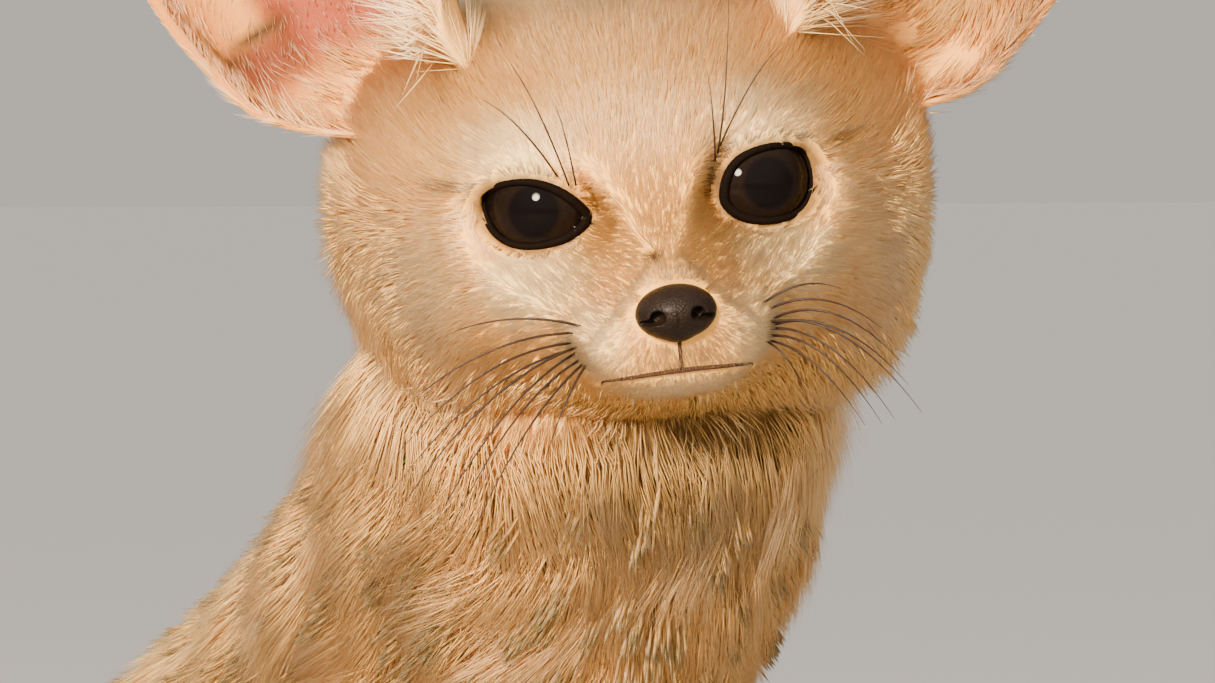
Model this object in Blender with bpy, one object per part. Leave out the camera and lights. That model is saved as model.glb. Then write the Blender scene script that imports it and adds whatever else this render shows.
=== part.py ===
"""Fennec fox, life size, sitting upright with its head turned a little to its right and its tail curled
round its left side. The coat's outer surface is modelled, with the ruff, chest and tail in flat locks.

Metres, +Z up. The fox faces -Y, its left side is +X, and it rests on Z = 0.
"""

import math
import random

import bmesh
import bpy
import numpy as np
from mathutils import Matrix, Vector
from mathutils.bvhtree import BVHTree

# Fit and mesh fineness
GAP = 0.0003
FLAT_ANGLE = math.radians(1.2)
SHARP_ANGLE = math.radians(50)
FLESH_VOXEL = 0.0024
FLESH_TRIANGLES = 1700
RANDOM_SEED = 7

# Where the middle of the back's plane stands from the middle of the footprint
BODY_SHIFT = (-0.030, -0.018)

# Head: size, seat on the neck and the way it looks
HEAD_CENTRE = (0.0, -0.070, 0.218)
HEAD_TURN_DEG = -31.0
HEAD_NOD_DEG = 4.5
HEAD_TILT_DEG = -7.0
HEAD_SIDES = 30
HEAD_RINGS = 20
HEAD_SQUARENESS = 0.92
HEAD_END_REACH = 0.3

# Head sections from nose to nape: y, half width, crown z, jaw z, z of the widest point
HEAD_SECTIONS = (
    (-0.0585, 0.0060, -0.0062, -0.0165, -0.0115),
    (-0.0560, 0.0098, -0.0044, -0.0210, -0.0130),
    (-0.0500, 0.0135, -0.0018, -0.0238, -0.0140),
    (-0.0430, 0.0178, 0.0022, -0.0252, -0.0135),
    (-0.0360, 0.0245, 0.0098, -0.0268, -0.0105),
    (-0.0280, 0.0325, 0.0200, -0.0286, -0.0065),
    (-0.0180, 0.0400, 0.0285, -0.0304, -0.0040),
    (-0.0050, 0.0448, 0.0340, -0.0315, -0.0025),
    (0.0080, 0.0456, 0.0355, -0.0310, -0.0005),
    (0.0200, 0.0408, 0.0320, -0.0275, 0.0015),
    (0.0300, 0.0300, 0.0230, -0.0190, 0.0030),
    (0.0350, 0.0145, 0.0120, -0.0080, 0.0030),
)

# Swellings and hollows of the head: x, y, z, radius, height. Those off the middle are mirrored.
HEAD_SPOTS = (
    (0.0175, -0.0300, 0.0145, 0.0080, 0.0016),
    (0.0000, -0.0370, 0.0070, 0.0070, -0.0014),
    (0.0110, -0.0420, -0.0020, 0.0060, -0.0012),
    (0.0085, -0.0520, -0.0165, 0.0060, 0.0016),
    (0.0290, -0.0160, -0.0160, 0.0140, 0.0024),
    (0.0360, 0.0040, 0.0200, 0.0140, 0.0030),
    (0.0180, -0.0300, -0.0200, 0.0100, -0.0012),
)

# Eyes
EYE_RADIUS = 0.0094
EYE_CENTRE = (0.0152, -0.0252, 0.0032)
EYE_OUT_DEG = 16.0
EYE_UP_DEG = 3.0
LID_THICKNESS = 0.0011
LID_HALF_LENGTH = 0.0076
LID_HALF_HEIGHT = 0.0056
LID_SLANT_DEG = 20.0
LID_NARROWING = 0.22
LID_CORNERS = 18
LID_CUT_REACH = (0.002, 0.030)

# Nose and mouth
NOSE_CENTRE = (0.0, -0.0585, -0.0105)
NOSE_HALF_SIZE = (0.0061, 0.0050, 0.0046)
NOSTRIL_RADIUS = 0.0013
NOSTRIL_PLACE = (0.0029, -0.0632, -0.0108)
NOSTRIL_SLIT_PLACE = (0.0045, -0.0620, -0.0114)
NOSTRIL_SLIT_HALF_SIZE = (0.0016, 0.0022, 0.0006)
MOUTH_FRONT_Z = -0.0198
MOUTH_CORNER_Z = -0.0225
MOUTH_REACH_DEG = 74.0
MOUTH_PIVOT_Y = -0.0400
MOUTH_HALF_GAP = 0.0004
MOUTH_DEPTH = 0.0016
MOUTH_TAPER = 0.85
MOUTH_STEPS = 13

# Ears: seat on the head, lean from upright (right, left), and their cup
EAR_LENGTH = 0.102
EAR_SEAT = {"right": (-0.0355, 0.0020, 0.0225), "left": (0.0335, 0.0020, 0.0175)}
EAR_LEAN_DEG = {"right": 19.0, "left": 30.0}
EAR_OPEN_OUT_DEG = 24.0
EAR_TIP_FORWARD_DEG = 4.0
EAR_THICKNESS = 0.0024
EAR_BACK_SHARE = 0.55
EAR_STATIONS = 12
EAR_ACROSS = 8
# Share of the length, half width, half angle of the cup's arc in degrees, shift towards the head
EAR_SECTIONS = (
    (-0.16, 0.0060, 110.0, 0.0190),
    (-0.07, 0.0110, 112.0, 0.0100),
    (0.03, 0.0170, 108.0, 0.0015),
    (0.15, 0.0215, 98.0, 0.0000),
    (0.30, 0.0252, 88.0, 0.0000),
    (0.45, 0.0266, 78.0, 0.0000),
    (0.65, 0.0240, 66.0, 0.0000),
    (0.82, 0.0168, 56.0, 0.0000),
    (0.94, 0.0085, 48.0, 0.0000),
    (1.00, 0.0024, 40.0, 0.0000),
)

# Trunk from rump to the inside of the head: x, y, z, half width, half depth
TRUNK = (
    (0.0, 0.100, 0.017, 0.031, 0.027),
    (0.0, 0.085, 0.047, 0.045, 0.042),
    (0.0, 0.056, 0.077, 0.050, 0.046),
    (0.0, 0.023, 0.105, 0.048, 0.046),
    (0.0, -0.013, 0.131, 0.0425, 0.0425),
    (0.0, -0.039, 0.156, 0.0400, 0.0390),
    (0.0, -0.057, 0.183, 0.0370, 0.0360),
    (0.0, -0.067, 0.206, 0.0305, 0.0295),
    (0.0, -0.070, 0.224, 0.018, 0.018),
)

# Left limbs, mirrored for the right: x, y, z, half width, half depth
FORELEG = (
    (0.023, -0.026, 0.146, 0.012, 0.020),
    (0.026, -0.034, 0.118, 0.016, 0.022),
    (0.023, -0.040, 0.090, 0.0135, 0.0165),
    (0.020, -0.049, 0.060, 0.0105, 0.0120),
    (0.019, -0.055, 0.032, 0.0095, 0.0102),
    (0.019, -0.057, 0.016, 0.0098, 0.0098),
)
THIGH = (
    (0.032, 0.090, 0.078, 0.012, 0.018),
    (0.040, 0.075, 0.072, 0.021, 0.031),
    (0.046, 0.050, 0.063, 0.025, 0.038),
    (0.050, 0.024, 0.053, 0.022, 0.033),
    (0.050, 0.002, 0.044, 0.0150, 0.0230),
    (0.050, -0.010, 0.039, 0.007, 0.013),
)
SHANK = (
    (0.050, 0.004, 0.036, 0.012, 0.014),
    (0.051, 0.040, 0.023, 0.0110, 0.013),
    (0.051, 0.068, 0.015, 0.0100, 0.011),
)
HIND_FOOT = (
    (0.051, 0.074, 0.010, 0.006, 0.007),
    (0.051, 0.065, 0.0095, 0.0088, 0.0095),
    (0.052, 0.036, 0.0075, 0.0092, 0.0088),
    (0.053, 0.004, 0.0072, 0.0108, 0.0088),
    (0.053, -0.011, 0.0060, 0.0100, 0.0072),
)
FOREPAW = (
    (0.019, -0.0545, 0.0320, 0.0096, 0.0102),
    (0.019, -0.0550, 0.0170, 0.0098, 0.0100),
    (0.019, -0.0600, 0.0100, 0.0104, 0.0110),
    (0.019, -0.0690, 0.0080, 0.0110, 0.0092),
    (0.019, -0.0760, 0.0065, 0.0098, 0.0074),
)
FOREPAW_TOP = 0.0245
TOE_HALF_SIZE = (0.0034, 0.0085, 0.0050)
TOE_SPACING = 0.0056
TOE_FORWARD = 0.0035
TOE_ARC = 0.0026
TOE_Z = 0.0044
CLAW_LENGTH, CLAW_RADIUS = 0.0055, 0.0010
CLAW_ROOT_Z, CLAW_TIP_Z = 0.0052, 0.0024

# Tail: the outer line of its brush, on the floor: x, y, z, half width, half height
TAIL = (
    (0.000, 0.098, 0.030, 0.014, 0.015),
    (0.010, 0.120, 0.026, 0.019, 0.020),
    (0.038, 0.136, 0.025, 0.023, 0.023),
    (0.074, 0.130, 0.026, 0.026, 0.026),
    (0.101, 0.104, 0.026, 0.027, 0.027),
    (0.113, 0.067, 0.026, 0.027, 0.027),
    (0.112, 0.029, 0.025, 0.026, 0.026),
    (0.103, -0.004, 0.022, 0.021, 0.022),
    (0.092, -0.030, 0.017, 0.012, 0.014),
    (0.086, -0.043, 0.014, 0.003, 0.004),
)
TAIL_PARTS = (("tail_base", 0.0, 0.34), ("tail_middle", 0.34, 0.72), ("tail_tip", 0.72, 1.0))

# Locks: length, width, thickness, and how deep the root is sunk
LOCK_ROOT_DEPTH = 0.0028
LOCK_PROFILE = ((0.72, 0.90), (1.0, 1.0), (0.74, 0.72))
NECK_LOCK = (0.0310, 0.0235, 0.0038)
CHEEK_LOCK = (0.0220, 0.0155, 0.0032)
TAIL_LOCK = (0.0410, 0.0280, 0.0046)
BODY_LOCK_LIFT = 0.0030
CHEEK_LOCK_LIFT = 0.0026
LOCK_VARIATION = 0.14
LOCK_SWAY = 0.12
LOCK_REACH = (0.0, 0.34, 0.70, 1.0)
LOCK_RISE = (0.0, 0.35, 0.85, 1.0)
BRUSH_RISE = (0.0, 0.42, 0.84, 1.0)
NECK_LOCK_ROWS = ((0.875, 12), (0.800, 12))
CHEST_LOCK_ROWS = ((0.725, 12), (0.655, 12))
CHEST_LOCK_FLOOR = 0.098
CHEST_LOCK_BACK = 0.45
CHEEK_LOCK_ROWS = (
    ((0.040, -0.016, -0.002), (0.026, -0.028, -0.023), 4),
    ((0.046, -0.003, 0.006), (0.030, -0.014, -0.029), 5),
)
TAIL_CORE_SHARE = 0.56
TAIL_CORE_END = 0.88
TAIL_OVERLAP = 0.04
TAIL_THICKEST = 0.026
TAIL_LOCK_STEP = 0.0265
TAIL_LOCKS_AROUND = 6

# Seams between the nodes
NECK_SEAM = ((0.0, -0.040, 0.166), (0.0, -0.60, 0.80))
TAIL_SEAM = ((0.012, 0.122, 0.026), (0.35, 0.94, 0.0))
FORELEG_TOP = 0.074
FORELEG_BACK = -0.014
CUT_REACH = 0.3
THIGH_REGION = ((0.060, 0.040, 0.046), (0.030, 0.066, 0.052))

# Finishes: colour, roughness, and the nodes that aren't sandy by the first word of their name
COLOURS = {
    "sandy_coat": ((0.80, 0.60, 0.38), 0.90),
    "pale_coat": ((0.88, 0.76, 0.60), 0.90),
    "dark_coat": ((0.06, 0.045, 0.035), 0.90),
    "nose_skin": ((0.025, 0.018, 0.015), 0.45),
    "eye": ((0.030, 0.016, 0.010), 0.08),
}
NODE_COLOURS = {
    "nose": "nose_skin",
    "eye": "eye",
    "foreleg": "pale_coat",
    "forepaw": "pale_coat",
    "hind": "pale_coat",
}


def mirrored(rows):
    """The same stations on the other side of the body."""
    return tuple((-row[0], *row[1:]) for row in rows)


def smooth_rows(rows, count, placed_by=3):
    """Rows read from a smooth curve through the given ones, evenly along the first columns."""
    rows = np.asarray(rows, float)
    lengths = np.linalg.norm(np.diff(rows[:, :placed_by], axis=0), axis=1)
    at = np.concatenate([[0.0], np.cumsum(lengths)])
    slopes = np.gradient(rows, at, axis=0)
    wanted = np.linspace(0.0, at[-1], count)
    index = np.clip(np.searchsorted(at, wanted, side="right") - 1, 0, len(at) - 2)
    span = (at[index + 1] - at[index])[:, None]
    t = (wanted - at[index])[:, None] / span
    start, end = rows[index], rows[index + 1]
    return (
        (2 * t**3 - 3 * t**2 + 1) * start
        + (t**3 - 2 * t**2 + t) * span * slopes[index]
        + (3 * t**2 - 2 * t**3) * end
        + (t**3 - t**2) * span * slopes[index + 1]
    )


def unit(vectors):
    """The vectors at length one."""
    return vectors / np.linalg.norm(vectors, axis=-1, keepdims=True)


def new_object(name, points, faces):
    """A mesh object with its faces pointing out."""
    mesh = bpy.data.meshes.new(name)
    mesh.from_pydata([tuple(p) for p in points], [], [tuple(f) for f in faces])
    shape = bmesh.new()
    shape.from_mesh(mesh)
    bmesh.ops.remove_doubles(shape, verts=shape.verts, dist=1e-6)
    bmesh.ops.recalc_face_normals(shape, faces=shape.faces)
    shape.to_mesh(mesh)
    shape.free()
    obj = bpy.data.objects.new(name, mesh)
    bpy.context.scene.collection.objects.link(obj)
    return obj


def skin_rings(name, rings, poles):
    """A closed mesh over rings of equal counts, with a pole at each end."""
    count, sides = len(rings), len(rings[0])
    points = [p for ring in rings for p in ring] + list(poles)
    faces = []
    for i in range(count - 1):
        for j in range(sides):
            k = (j + 1) % sides
            faces.append((i * sides + j, i * sides + k, (i + 1) * sides + k, (i + 1) * sides + j))
    first, last = count * sides, count * sides + 1
    for j in range(sides):
        k = (j + 1) % sides
        faces.append((first, k, j))
        faces.append((last, (count - 1) * sides + j, (count - 1) * sides + k))
    return new_object(name, points, faces)


def tube(name, rows, count, sides, side_axis=(1, 0, 0), grow=0.0, dome=0.5):
    """A limb-like solid with oval sections along a smooth line."""
    rows = smooth_rows(rows, count)
    centres = rows[:, :3]
    along = unit(np.gradient(centres, axis=0))
    side = np.asarray(side_axis, float) - along * (along @ np.asarray(side_axis, float))[:, None]
    side = unit(side)
    deep = np.cross(along, side)
    angles = np.arange(sides) * 2 * math.pi / sides
    half_side = (rows[:, 3] + grow)[:, None, None]
    half_deep = (rows[:, 4] + grow)[:, None, None]
    rings = (
        centres[:, None, :]
        + half_side * np.cos(angles)[None, :, None] * side[:, None, :]
        + half_deep * np.sin(angles)[None, :, None] * deep[:, None, :]
    )
    reach = dome * np.minimum(rows[:, 3], rows[:, 4]) + grow
    poles = (centres[0] - along[0] * reach[0], centres[-1] + along[-1] * reach[-1])
    return skin_rings(name, rings, poles)


def ball(name, centre, half_size, segments=16, rings=10):
    """An ellipsoid."""
    bpy.ops.mesh.primitive_uv_sphere_add(segments=segments, ring_count=rings, radius=1.0)
    obj = bpy.context.active_object
    obj.name = name
    obj.data.transform(Matrix.Translation(centre) @ Matrix.Diagonal((*half_size, 1.0)))
    return obj


def block(name, low, high):
    """A box between two corners."""
    low, high = Vector(low), Vector(high)
    bpy.ops.mesh.primitive_cube_add(size=1.0)
    obj = bpy.context.active_object
    obj.name = name
    obj.data.transform(Matrix.Translation((low + high) / 2) @ Matrix.Diagonal((*(high - low), 1.0)))
    return obj


def delete(*objects):
    """Takes helper objects out of the scene."""
    for obj in objects:
        bpy.data.objects.remove(obj)


def bake(obj):
    """Applies the object's modifiers to its mesh."""
    graph = bpy.context.evaluated_depsgraph_get()
    graph.update()
    mesh = bpy.data.meshes.new_from_object(obj.evaluated_get(graph))
    obj.modifiers.clear()
    obj.data = mesh
    return obj


def duplicate(obj, name):
    """A copy of an object with its own mesh."""
    copy = bpy.data.objects.new(name, obj.data.copy())
    bpy.context.scene.collection.objects.link(copy)
    return copy


def combine(obj, others, operation, solver="MANIFOLD"):
    """One Boolean of obj with all of the others, which are then removed."""
    group = bpy.data.collections.new("pieces")
    bpy.context.scene.collection.children.link(group)
    for other in others:
        for home in list(other.users_collection):
            home.objects.unlink(other)
        group.objects.link(other)
    modifier = obj.modifiers.new(operation.lower(), "BOOLEAN")
    modifier.operation = operation
    modifier.operand_type = "COLLECTION"
    modifier.collection = group
    modifier.solver = solver
    bake(obj)
    delete(*others)
    bpy.data.collections.remove(group)
    return keep_largest(obj)


def keep_largest(obj):
    """Keeps the largest closed surface of a mesh and drops loose scraps and sealed hollows."""
    shape = bmesh.new()
    shape.from_mesh(obj.data)
    bmesh.ops.triangulate(shape, faces=shape.faces)
    left, islands = set(shape.faces), []
    while left:
        island, edge = set(), [left.pop()]
        while edge:
            face = edge.pop()
            island.add(face)
            near = {f for e in face.edges for f in e.link_faces} & left
            left -= near
            edge.extend(near)
        islands.append(island)

    def size(island):
        corners = ([v.co for v in face.verts] for face in island)
        return sum(a.dot(b.cross(c)) for a, b, c in corners)

    islands.sort(key=size)
    loose = {v for island in islands[:-1] for face in island for v in face.verts}
    bmesh.ops.delete(shape, geom=list(loose), context="VERTS")
    shape.to_mesh(obj.data)
    shape.free()
    return obj


def surface_of(obj):
    """The object's surface, to be searched for near points."""
    graph = bpy.context.evaluated_depsgraph_get()
    graph.update()
    return BVHTree.FromObject(obj, graph)


def cut_flat(obj, point, normal):
    """Cuts off what lies on the normal's side of a plane, and closes the cut."""
    shape = bmesh.new()
    shape.from_mesh(obj.data)
    everything = shape.verts[:] + shape.edges[:] + shape.faces[:]
    done = bmesh.ops.bisect_plane(
        shape, geom=everything, dist=1e-7, plane_co=point, plane_no=normal, clear_outer=True
    )
    rim = [g for g in done["geom_cut"] if isinstance(g, bmesh.types.BMEdge)]
    caps = bmesh.ops.holes_fill(shape, edges=rim, sides=0)["faces"]
    bmesh.ops.triangulate(shape, faces=caps)
    bmesh.ops.recalc_face_normals(shape, faces=shape.faces)
    shape.to_mesh(obj.data)
    shape.free()
    return obj


def on_head():
    """The matrix from the head's own frame to the body's."""
    return (
        Matrix.Translation(HEAD_CENTRE)
        @ Matrix.Rotation(math.radians(HEAD_TURN_DEG), 4, "Z")
        @ Matrix.Rotation(math.radians(HEAD_NOD_DEG), 4, "X")
        @ Matrix.Rotation(math.radians(HEAD_TILT_DEG), 4, "Y")
    )


def head_shell(name, grow=0.0, rings=HEAD_RINGS, sides=HEAD_SIDES):
    """The head without eyes, ears or nose, in its own frame."""
    rows = smooth_rows(HEAD_SECTIONS, rings, placed_by=1)
    angles = np.arange(sides) * 2 * math.pi / sides
    cos, sin = np.cos(angles), np.sin(angles)
    across = np.sign(cos) * np.abs(cos) ** HEAD_SQUARENESS
    upright = np.sign(sin) * np.abs(sin) ** HEAD_SQUARENESS
    shell = []
    for y, half_width, crown, jaw, widest in rows:
        height = np.where(sin > 0, crown - widest, widest - jaw)
        shell.append(
            np.stack([half_width * across, np.full(sides, y), widest + height * upright], axis=1)
        )
    ends = (rows[0], rows[-1])
    poles = [
        (0.0, end[0] + sign * HEAD_END_REACH * end[1], end[4]) for end, sign in zip(ends, (-1, 1))
    ]
    obj = skin_rings(name, shell, poles)
    spots = [s for s in HEAD_SPOTS] + [(-s[0], *s[1:]) for s in HEAD_SPOTS if s[0]]
    for vertex in obj.data.vertices:
        lift = grow
        for x, y, z, radius, height in spots:
            lift += height * math.exp(-((vertex.co - Vector((x, y, z))).length / radius) ** 2)
        vertex.co += vertex.normal * lift
    return obj


def eye_axis(side):
    """The way an eye looks, in the head's frame. side is 1 on the left and -1 on the right."""
    out, up = math.radians(EYE_OUT_DEG), math.radians(EYE_UP_DEG)
    return Vector((side * math.sin(out) * math.cos(up), -math.cos(out) * math.cos(up), math.sin(up)))


def eye_centre(side):
    """The middle of an eyeball, in the head's frame."""
    return Vector((side * EYE_CENTRE[0], EYE_CENTRE[1], EYE_CENTRE[2]))


def lid_opening(side):
    """A prism with the almond outline of the open lids, from the eyeball's middle forwards."""
    axis = eye_axis(side)
    across = Vector((0, 0, 1)).cross(axis).normalized() * side
    upright = axis.cross(across) * side
    slant = math.radians(LID_SLANT_DEG)
    outline = []
    for i in range(LID_CORNERS):
        turn = 2 * math.pi * i / LID_CORNERS
        x = LID_HALF_LENGTH * math.cos(turn)
        z = LID_HALF_HEIGHT * math.sin(turn) * (1.0 - LID_NARROWING * math.cos(turn) ** 2)
        outline.append((x * math.cos(slant) - z * math.sin(slant), x * math.sin(slant) + z * math.cos(slant)))
    poles = [eye_centre(side) + axis * reach for reach in LID_CUT_REACH]
    rings = [[pole + across * x + upright * z for x, z in outline] for pole in poles]
    return skin_rings("lid_opening", rings, poles)


def mouth_slit(head):
    """A thin band that cuts the line of the mouth round the muzzle."""
    tree = surface_of(head)
    upper, lower = [], []
    for place in np.linspace(-1.0, 1.0, MOUTH_STEPS):
        turn = math.radians(MOUTH_REACH_DEG) * place
        share = place**2
        height = MOUTH_FRONT_Z + (MOUTH_CORNER_Z - MOUTH_FRONT_Z) * share
        inward = Vector((-math.sin(turn), math.cos(turn), 0.0))
        start = Vector((0.0, MOUTH_PIVOT_Y, height)) - inward * 0.08
        hit = tree.ray_cast(start, inward)[0]
        taper = 1.0 - MOUTH_TAPER * share**3
        for line, lift in ((upper, MOUTH_HALF_GAP), (lower, -MOUTH_HALF_GAP)):
            lifted = hit + Vector((0, 0, lift * taper))
            line.append((lifted + inward * MOUTH_DEPTH * taper, lifted - inward * MOUTH_DEPTH))
    points = [p for line in (upper, lower) for pair in line for p in pair]
    low = 2 * MOUTH_STEPS
    faces = []
    for i in range(MOUTH_STEPS - 1):
        a, b, c, d = 2 * i, 2 * i + 1, 2 * i + 3, 2 * i + 2
        faces += [(a, b, c, d), (low + d, low + c, low + b, low + a)]
        faces += [(a, d, low + d, low + a), (b, low + b, low + c, c)]
    end = low - 2
    faces += [(0, low, low + 1, 1), (end, end + 1, low + end + 1, low + end)]
    return new_object("mouth_slit", points, faces)


def make_nose():
    """The bare nose with its two nostrils, cut to sit on the muzzle."""
    nose = ball("nose", NOSE_CENTRE, NOSE_HALF_SIZE, 14, 9)
    cutters = [head_shell("muzzle", GAP)]
    bore = (NOSTRIL_RADIUS, 2.2 * NOSTRIL_RADIUS, NOSTRIL_RADIUS)
    for (x, y, z), half_size in ((NOSTRIL_PLACE, bore), (NOSTRIL_SLIT_PLACE, NOSTRIL_SLIT_HALF_SIZE)):
        for side in (1, -1):
            cutters.append(ball("nostril", (side * x, y, z), half_size, 6, 5))
    return combine(nose, cutters, "DIFFERENCE")


def make_eyes():
    """The eyeballs, whole."""
    eyes = []
    for word, side in (("left", 1), ("right", -1)):
        eyes.append(ball(f"eye_{word}", eye_centre(side), (EYE_RADIUS,) * 3, 14, 9))
    return eyes


def ear_points(word, side, thickness):
    """Outer and inner grids of an ear's cup, in the head's frame."""
    rows = smooth_rows([(s * EAR_LENGTH, *rest) for s, *rest in EAR_SECTIONS], EAR_STATIONS, placed_by=1)
    frame = (
        Matrix.Translation(EAR_SEAT[word])
        @ Matrix.Rotation(side * math.radians(EAR_LEAN_DEG[word]), 4, "Y")
        @ Matrix.Rotation(side * math.radians(EAR_OPEN_OUT_DEG), 4, "Z")
        @ Matrix.Rotation(math.radians(EAR_TIP_FORWARD_DEG), 4, "X")
    )
    grids = ([], [])
    for height, half_width, half_angle, inward in rows:
        arc = math.radians(half_angle)
        radius = half_width / math.sin(min(arc, math.pi / 2))
        walls = (0.0, min(thickness, 0.7 * half_width))
        for grid, inset in zip(grids, walls):
            reach = radius - inset
            ring = []
            for share in np.linspace(-1.0, 1.0, EAR_ACROSS + 1):
                turn = share * arc
                x = reach * math.sin(turn) - side * inward
                y = EAR_BACK_SHARE * half_width + reach * math.cos(turn) - radius
                ring.append(frame @ Vector((x, y, height)))
            grid.append(ring)
    return grids


def make_ear(word, side):
    """An ear as a cup open to the front, cut to sit on the head."""
    outer, inner = ear_points(word, side, EAR_THICKNESS)
    rings = [list(a) + list(b)[::-1] for a, b in zip(outer, inner)]
    count, sides = len(rings), len(rings[0])
    points = [p for ring in rings for p in ring]
    faces = []
    for i in range(count - 1):
        for j in range(sides):
            k = (j + 1) % sides
            faces.append((i * sides + j, i * sides + k, (i + 1) * sides + k, (i + 1) * sides + j))
    for i in (0, count - 1):
        for j in range(EAR_ACROSS):
            a, b = i * sides + j, i * sides + j + 1
            c, d = i * sides + sides - 2 - j, i * sides + sides - 1 - j
            faces.append((a, b, c, d))
    ear = new_object(f"ear_{word}", points, faces)
    return combine(ear, [head_shell("skull", GAP)], "DIFFERENCE")


def make_head():
    """The head with lids, the line of the mouth and seats for the eyes."""
    head = head_shell("head")
    lids = [
        ball("lid", eye_centre(side), (EYE_RADIUS + LID_THICKNESS,) * 3, 16, 12) for side in (1, -1)
    ]
    combine(head, [*lids, *cheek_locks(surface_of(head))], "UNION")
    cutters = [mouth_slit(head)]
    for side in (1, -1):
        cutters.append(lid_opening(side))
        cutters.append(ball("socket", eye_centre(side), (EYE_RADIUS + GAP,) * 3, 14, 9))
    return combine(head, cutters, "DIFFERENCE")


def blade(points, normals, width, thickness, grow=0.0):
    """A flat tapered lock along four points, the last of them its tip. grow moves each face out."""
    points, normals = np.asarray(points, float), unit(np.asarray(normals, float))
    along = unit(np.gradient(points, axis=0))
    across = unit(np.cross(along, normals))
    sharpness = np.linalg.norm(points[3] - points[2]) / (0.5 * thickness * LOCK_PROFILE[-1][1])
    tip = points[3] + along[3] * grow * (1.0 + sharpness)
    rings = []
    for (wide, thick), p, side, out in zip(LOCK_PROFILE, points, across, normals):
        half, height = 0.5 * width * wide, thickness * thick
        slope = math.hypot(half, height)
        reach = half + grow * (slope + half) / height
        top, bottom = 0.5 * height + grow * slope / half, 0.5 * height + grow
        rings.append([p - side * reach - out * bottom, p + out * top, p + side * reach - out * bottom])
    corners = [c for ring in rings for c in ring] + [tip]
    faces = [(2, 1, 0)]
    for i in (0, 3):
        for j in range(3):
            k = (j + 1) % 3
            faces.append((i + j, i + k, i + 3 + k, i + 3 + j))
    for j in range(3):
        faces.append((6 + j, 6 + (j + 1) % 3, 9))
    return new_object("lock", corners, faces)


def lock_sizes(size, luck):
    """The sizes of one lock, varied as real locks are."""
    change = 1.0 + LOCK_VARIATION * luck.uniform(-1.0, 1.0)
    return size[0] * change, size[1] * (1.0 + LOCK_VARIATION * luck.uniform(-1.0, 1.0)), size[2]


def surface_lock(tree, root, lie, size, lift, luck, grow=0.0):
    """A lock rooted in a surface and lying along it."""
    length, width, thickness = lock_sizes(size, luck)
    lie = Vector(lie).normalized()
    sway = Vector((luck.uniform(-1, 1), luck.uniform(-1, 1), luck.uniform(-1, 1))) * LOCK_SWAY
    points, normals = [], []
    for reach, rise in zip(LOCK_REACH, LOCK_RISE):
        wanted = root + (lie + sway * reach) * length * reach
        place, normal = tree.find_nearest(wanted)[:2]
        points.append(place + normal * (rise * lift if reach else -LOCK_ROOT_DEPTH))
        normals.append(normal)
    return blade(points, normals, width, thickness, grow)


def along_surface(lie, normal):
    """The part of a direction that lies along a surface."""
    return (lie - normal * lie.dot(normal)).normalized()


def trunk_locks(tree, rows, keep, grow=0.0):
    """Rings of locks round the trunk that lie towards the rump. keep says which roots are wanted."""
    luck = random.Random(RANDOM_SEED)
    line = smooth_rows(TRUNK, 101)
    made = []
    for k, (share, count) in enumerate(rows):
        index = round(share * 100)
        centre = Vector(line[index, :3])
        backwards = Vector(line[index - 4, :3] - line[index + 4, :3]).normalized()
        side = Vector((1, 0, 0))
        deep = backwards.cross(side)
        for j in range(count):
            turn = 2 * math.pi * (j + 0.5 * (k % 2) + luck.uniform(-0.15, 0.15)) / count
            ray = side * math.cos(turn) + deep * math.sin(turn)
            root, normal = tree.ray_cast(centre + ray * 0.2, -ray)[:2]
            lie = along_surface(backwards + Vector((0, 0, -0.25)), normal)
            lock = surface_lock(tree, root, lie, NECK_LOCK, BODY_LOCK_LIFT, luck, grow)
            if keep(root, normal):
                made.append(lock)
            else:
                delete(lock)
    return made


def cheek_locks(tree, grow=0.0):
    """The ruff behind each cheek, in the head's frame."""
    luck = random.Random(RANDOM_SEED + 1)
    made = []
    for side in (1, -1):
        for high, low, count in CHEEK_LOCK_ROWS:
            for i in range(count):
                share = (i + luck.uniform(0.35, 0.65)) / count
                wanted = Vector(high).lerp(Vector(low), share)
                wanted.x *= side
                root, normal = tree.find_nearest(wanted)[:2]
                lie = along_surface(Vector((0.5 * side, 1.0, -0.75 * share - 0.1)), normal)
                made.append(surface_lock(tree, root, lie, CHEEK_LOCK, CHEEK_LOCK_LIFT, luck, grow))
    return made


def tail_line():
    """The tail's middle line with the sizes of its brush, and the length up to each point."""
    rows = smooth_rows(TAIL, 121)
    steps = np.linalg.norm(np.diff(rows[:, :3], axis=0), axis=1)
    return rows, np.concatenate([[0.0], np.cumsum(steps)])


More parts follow.
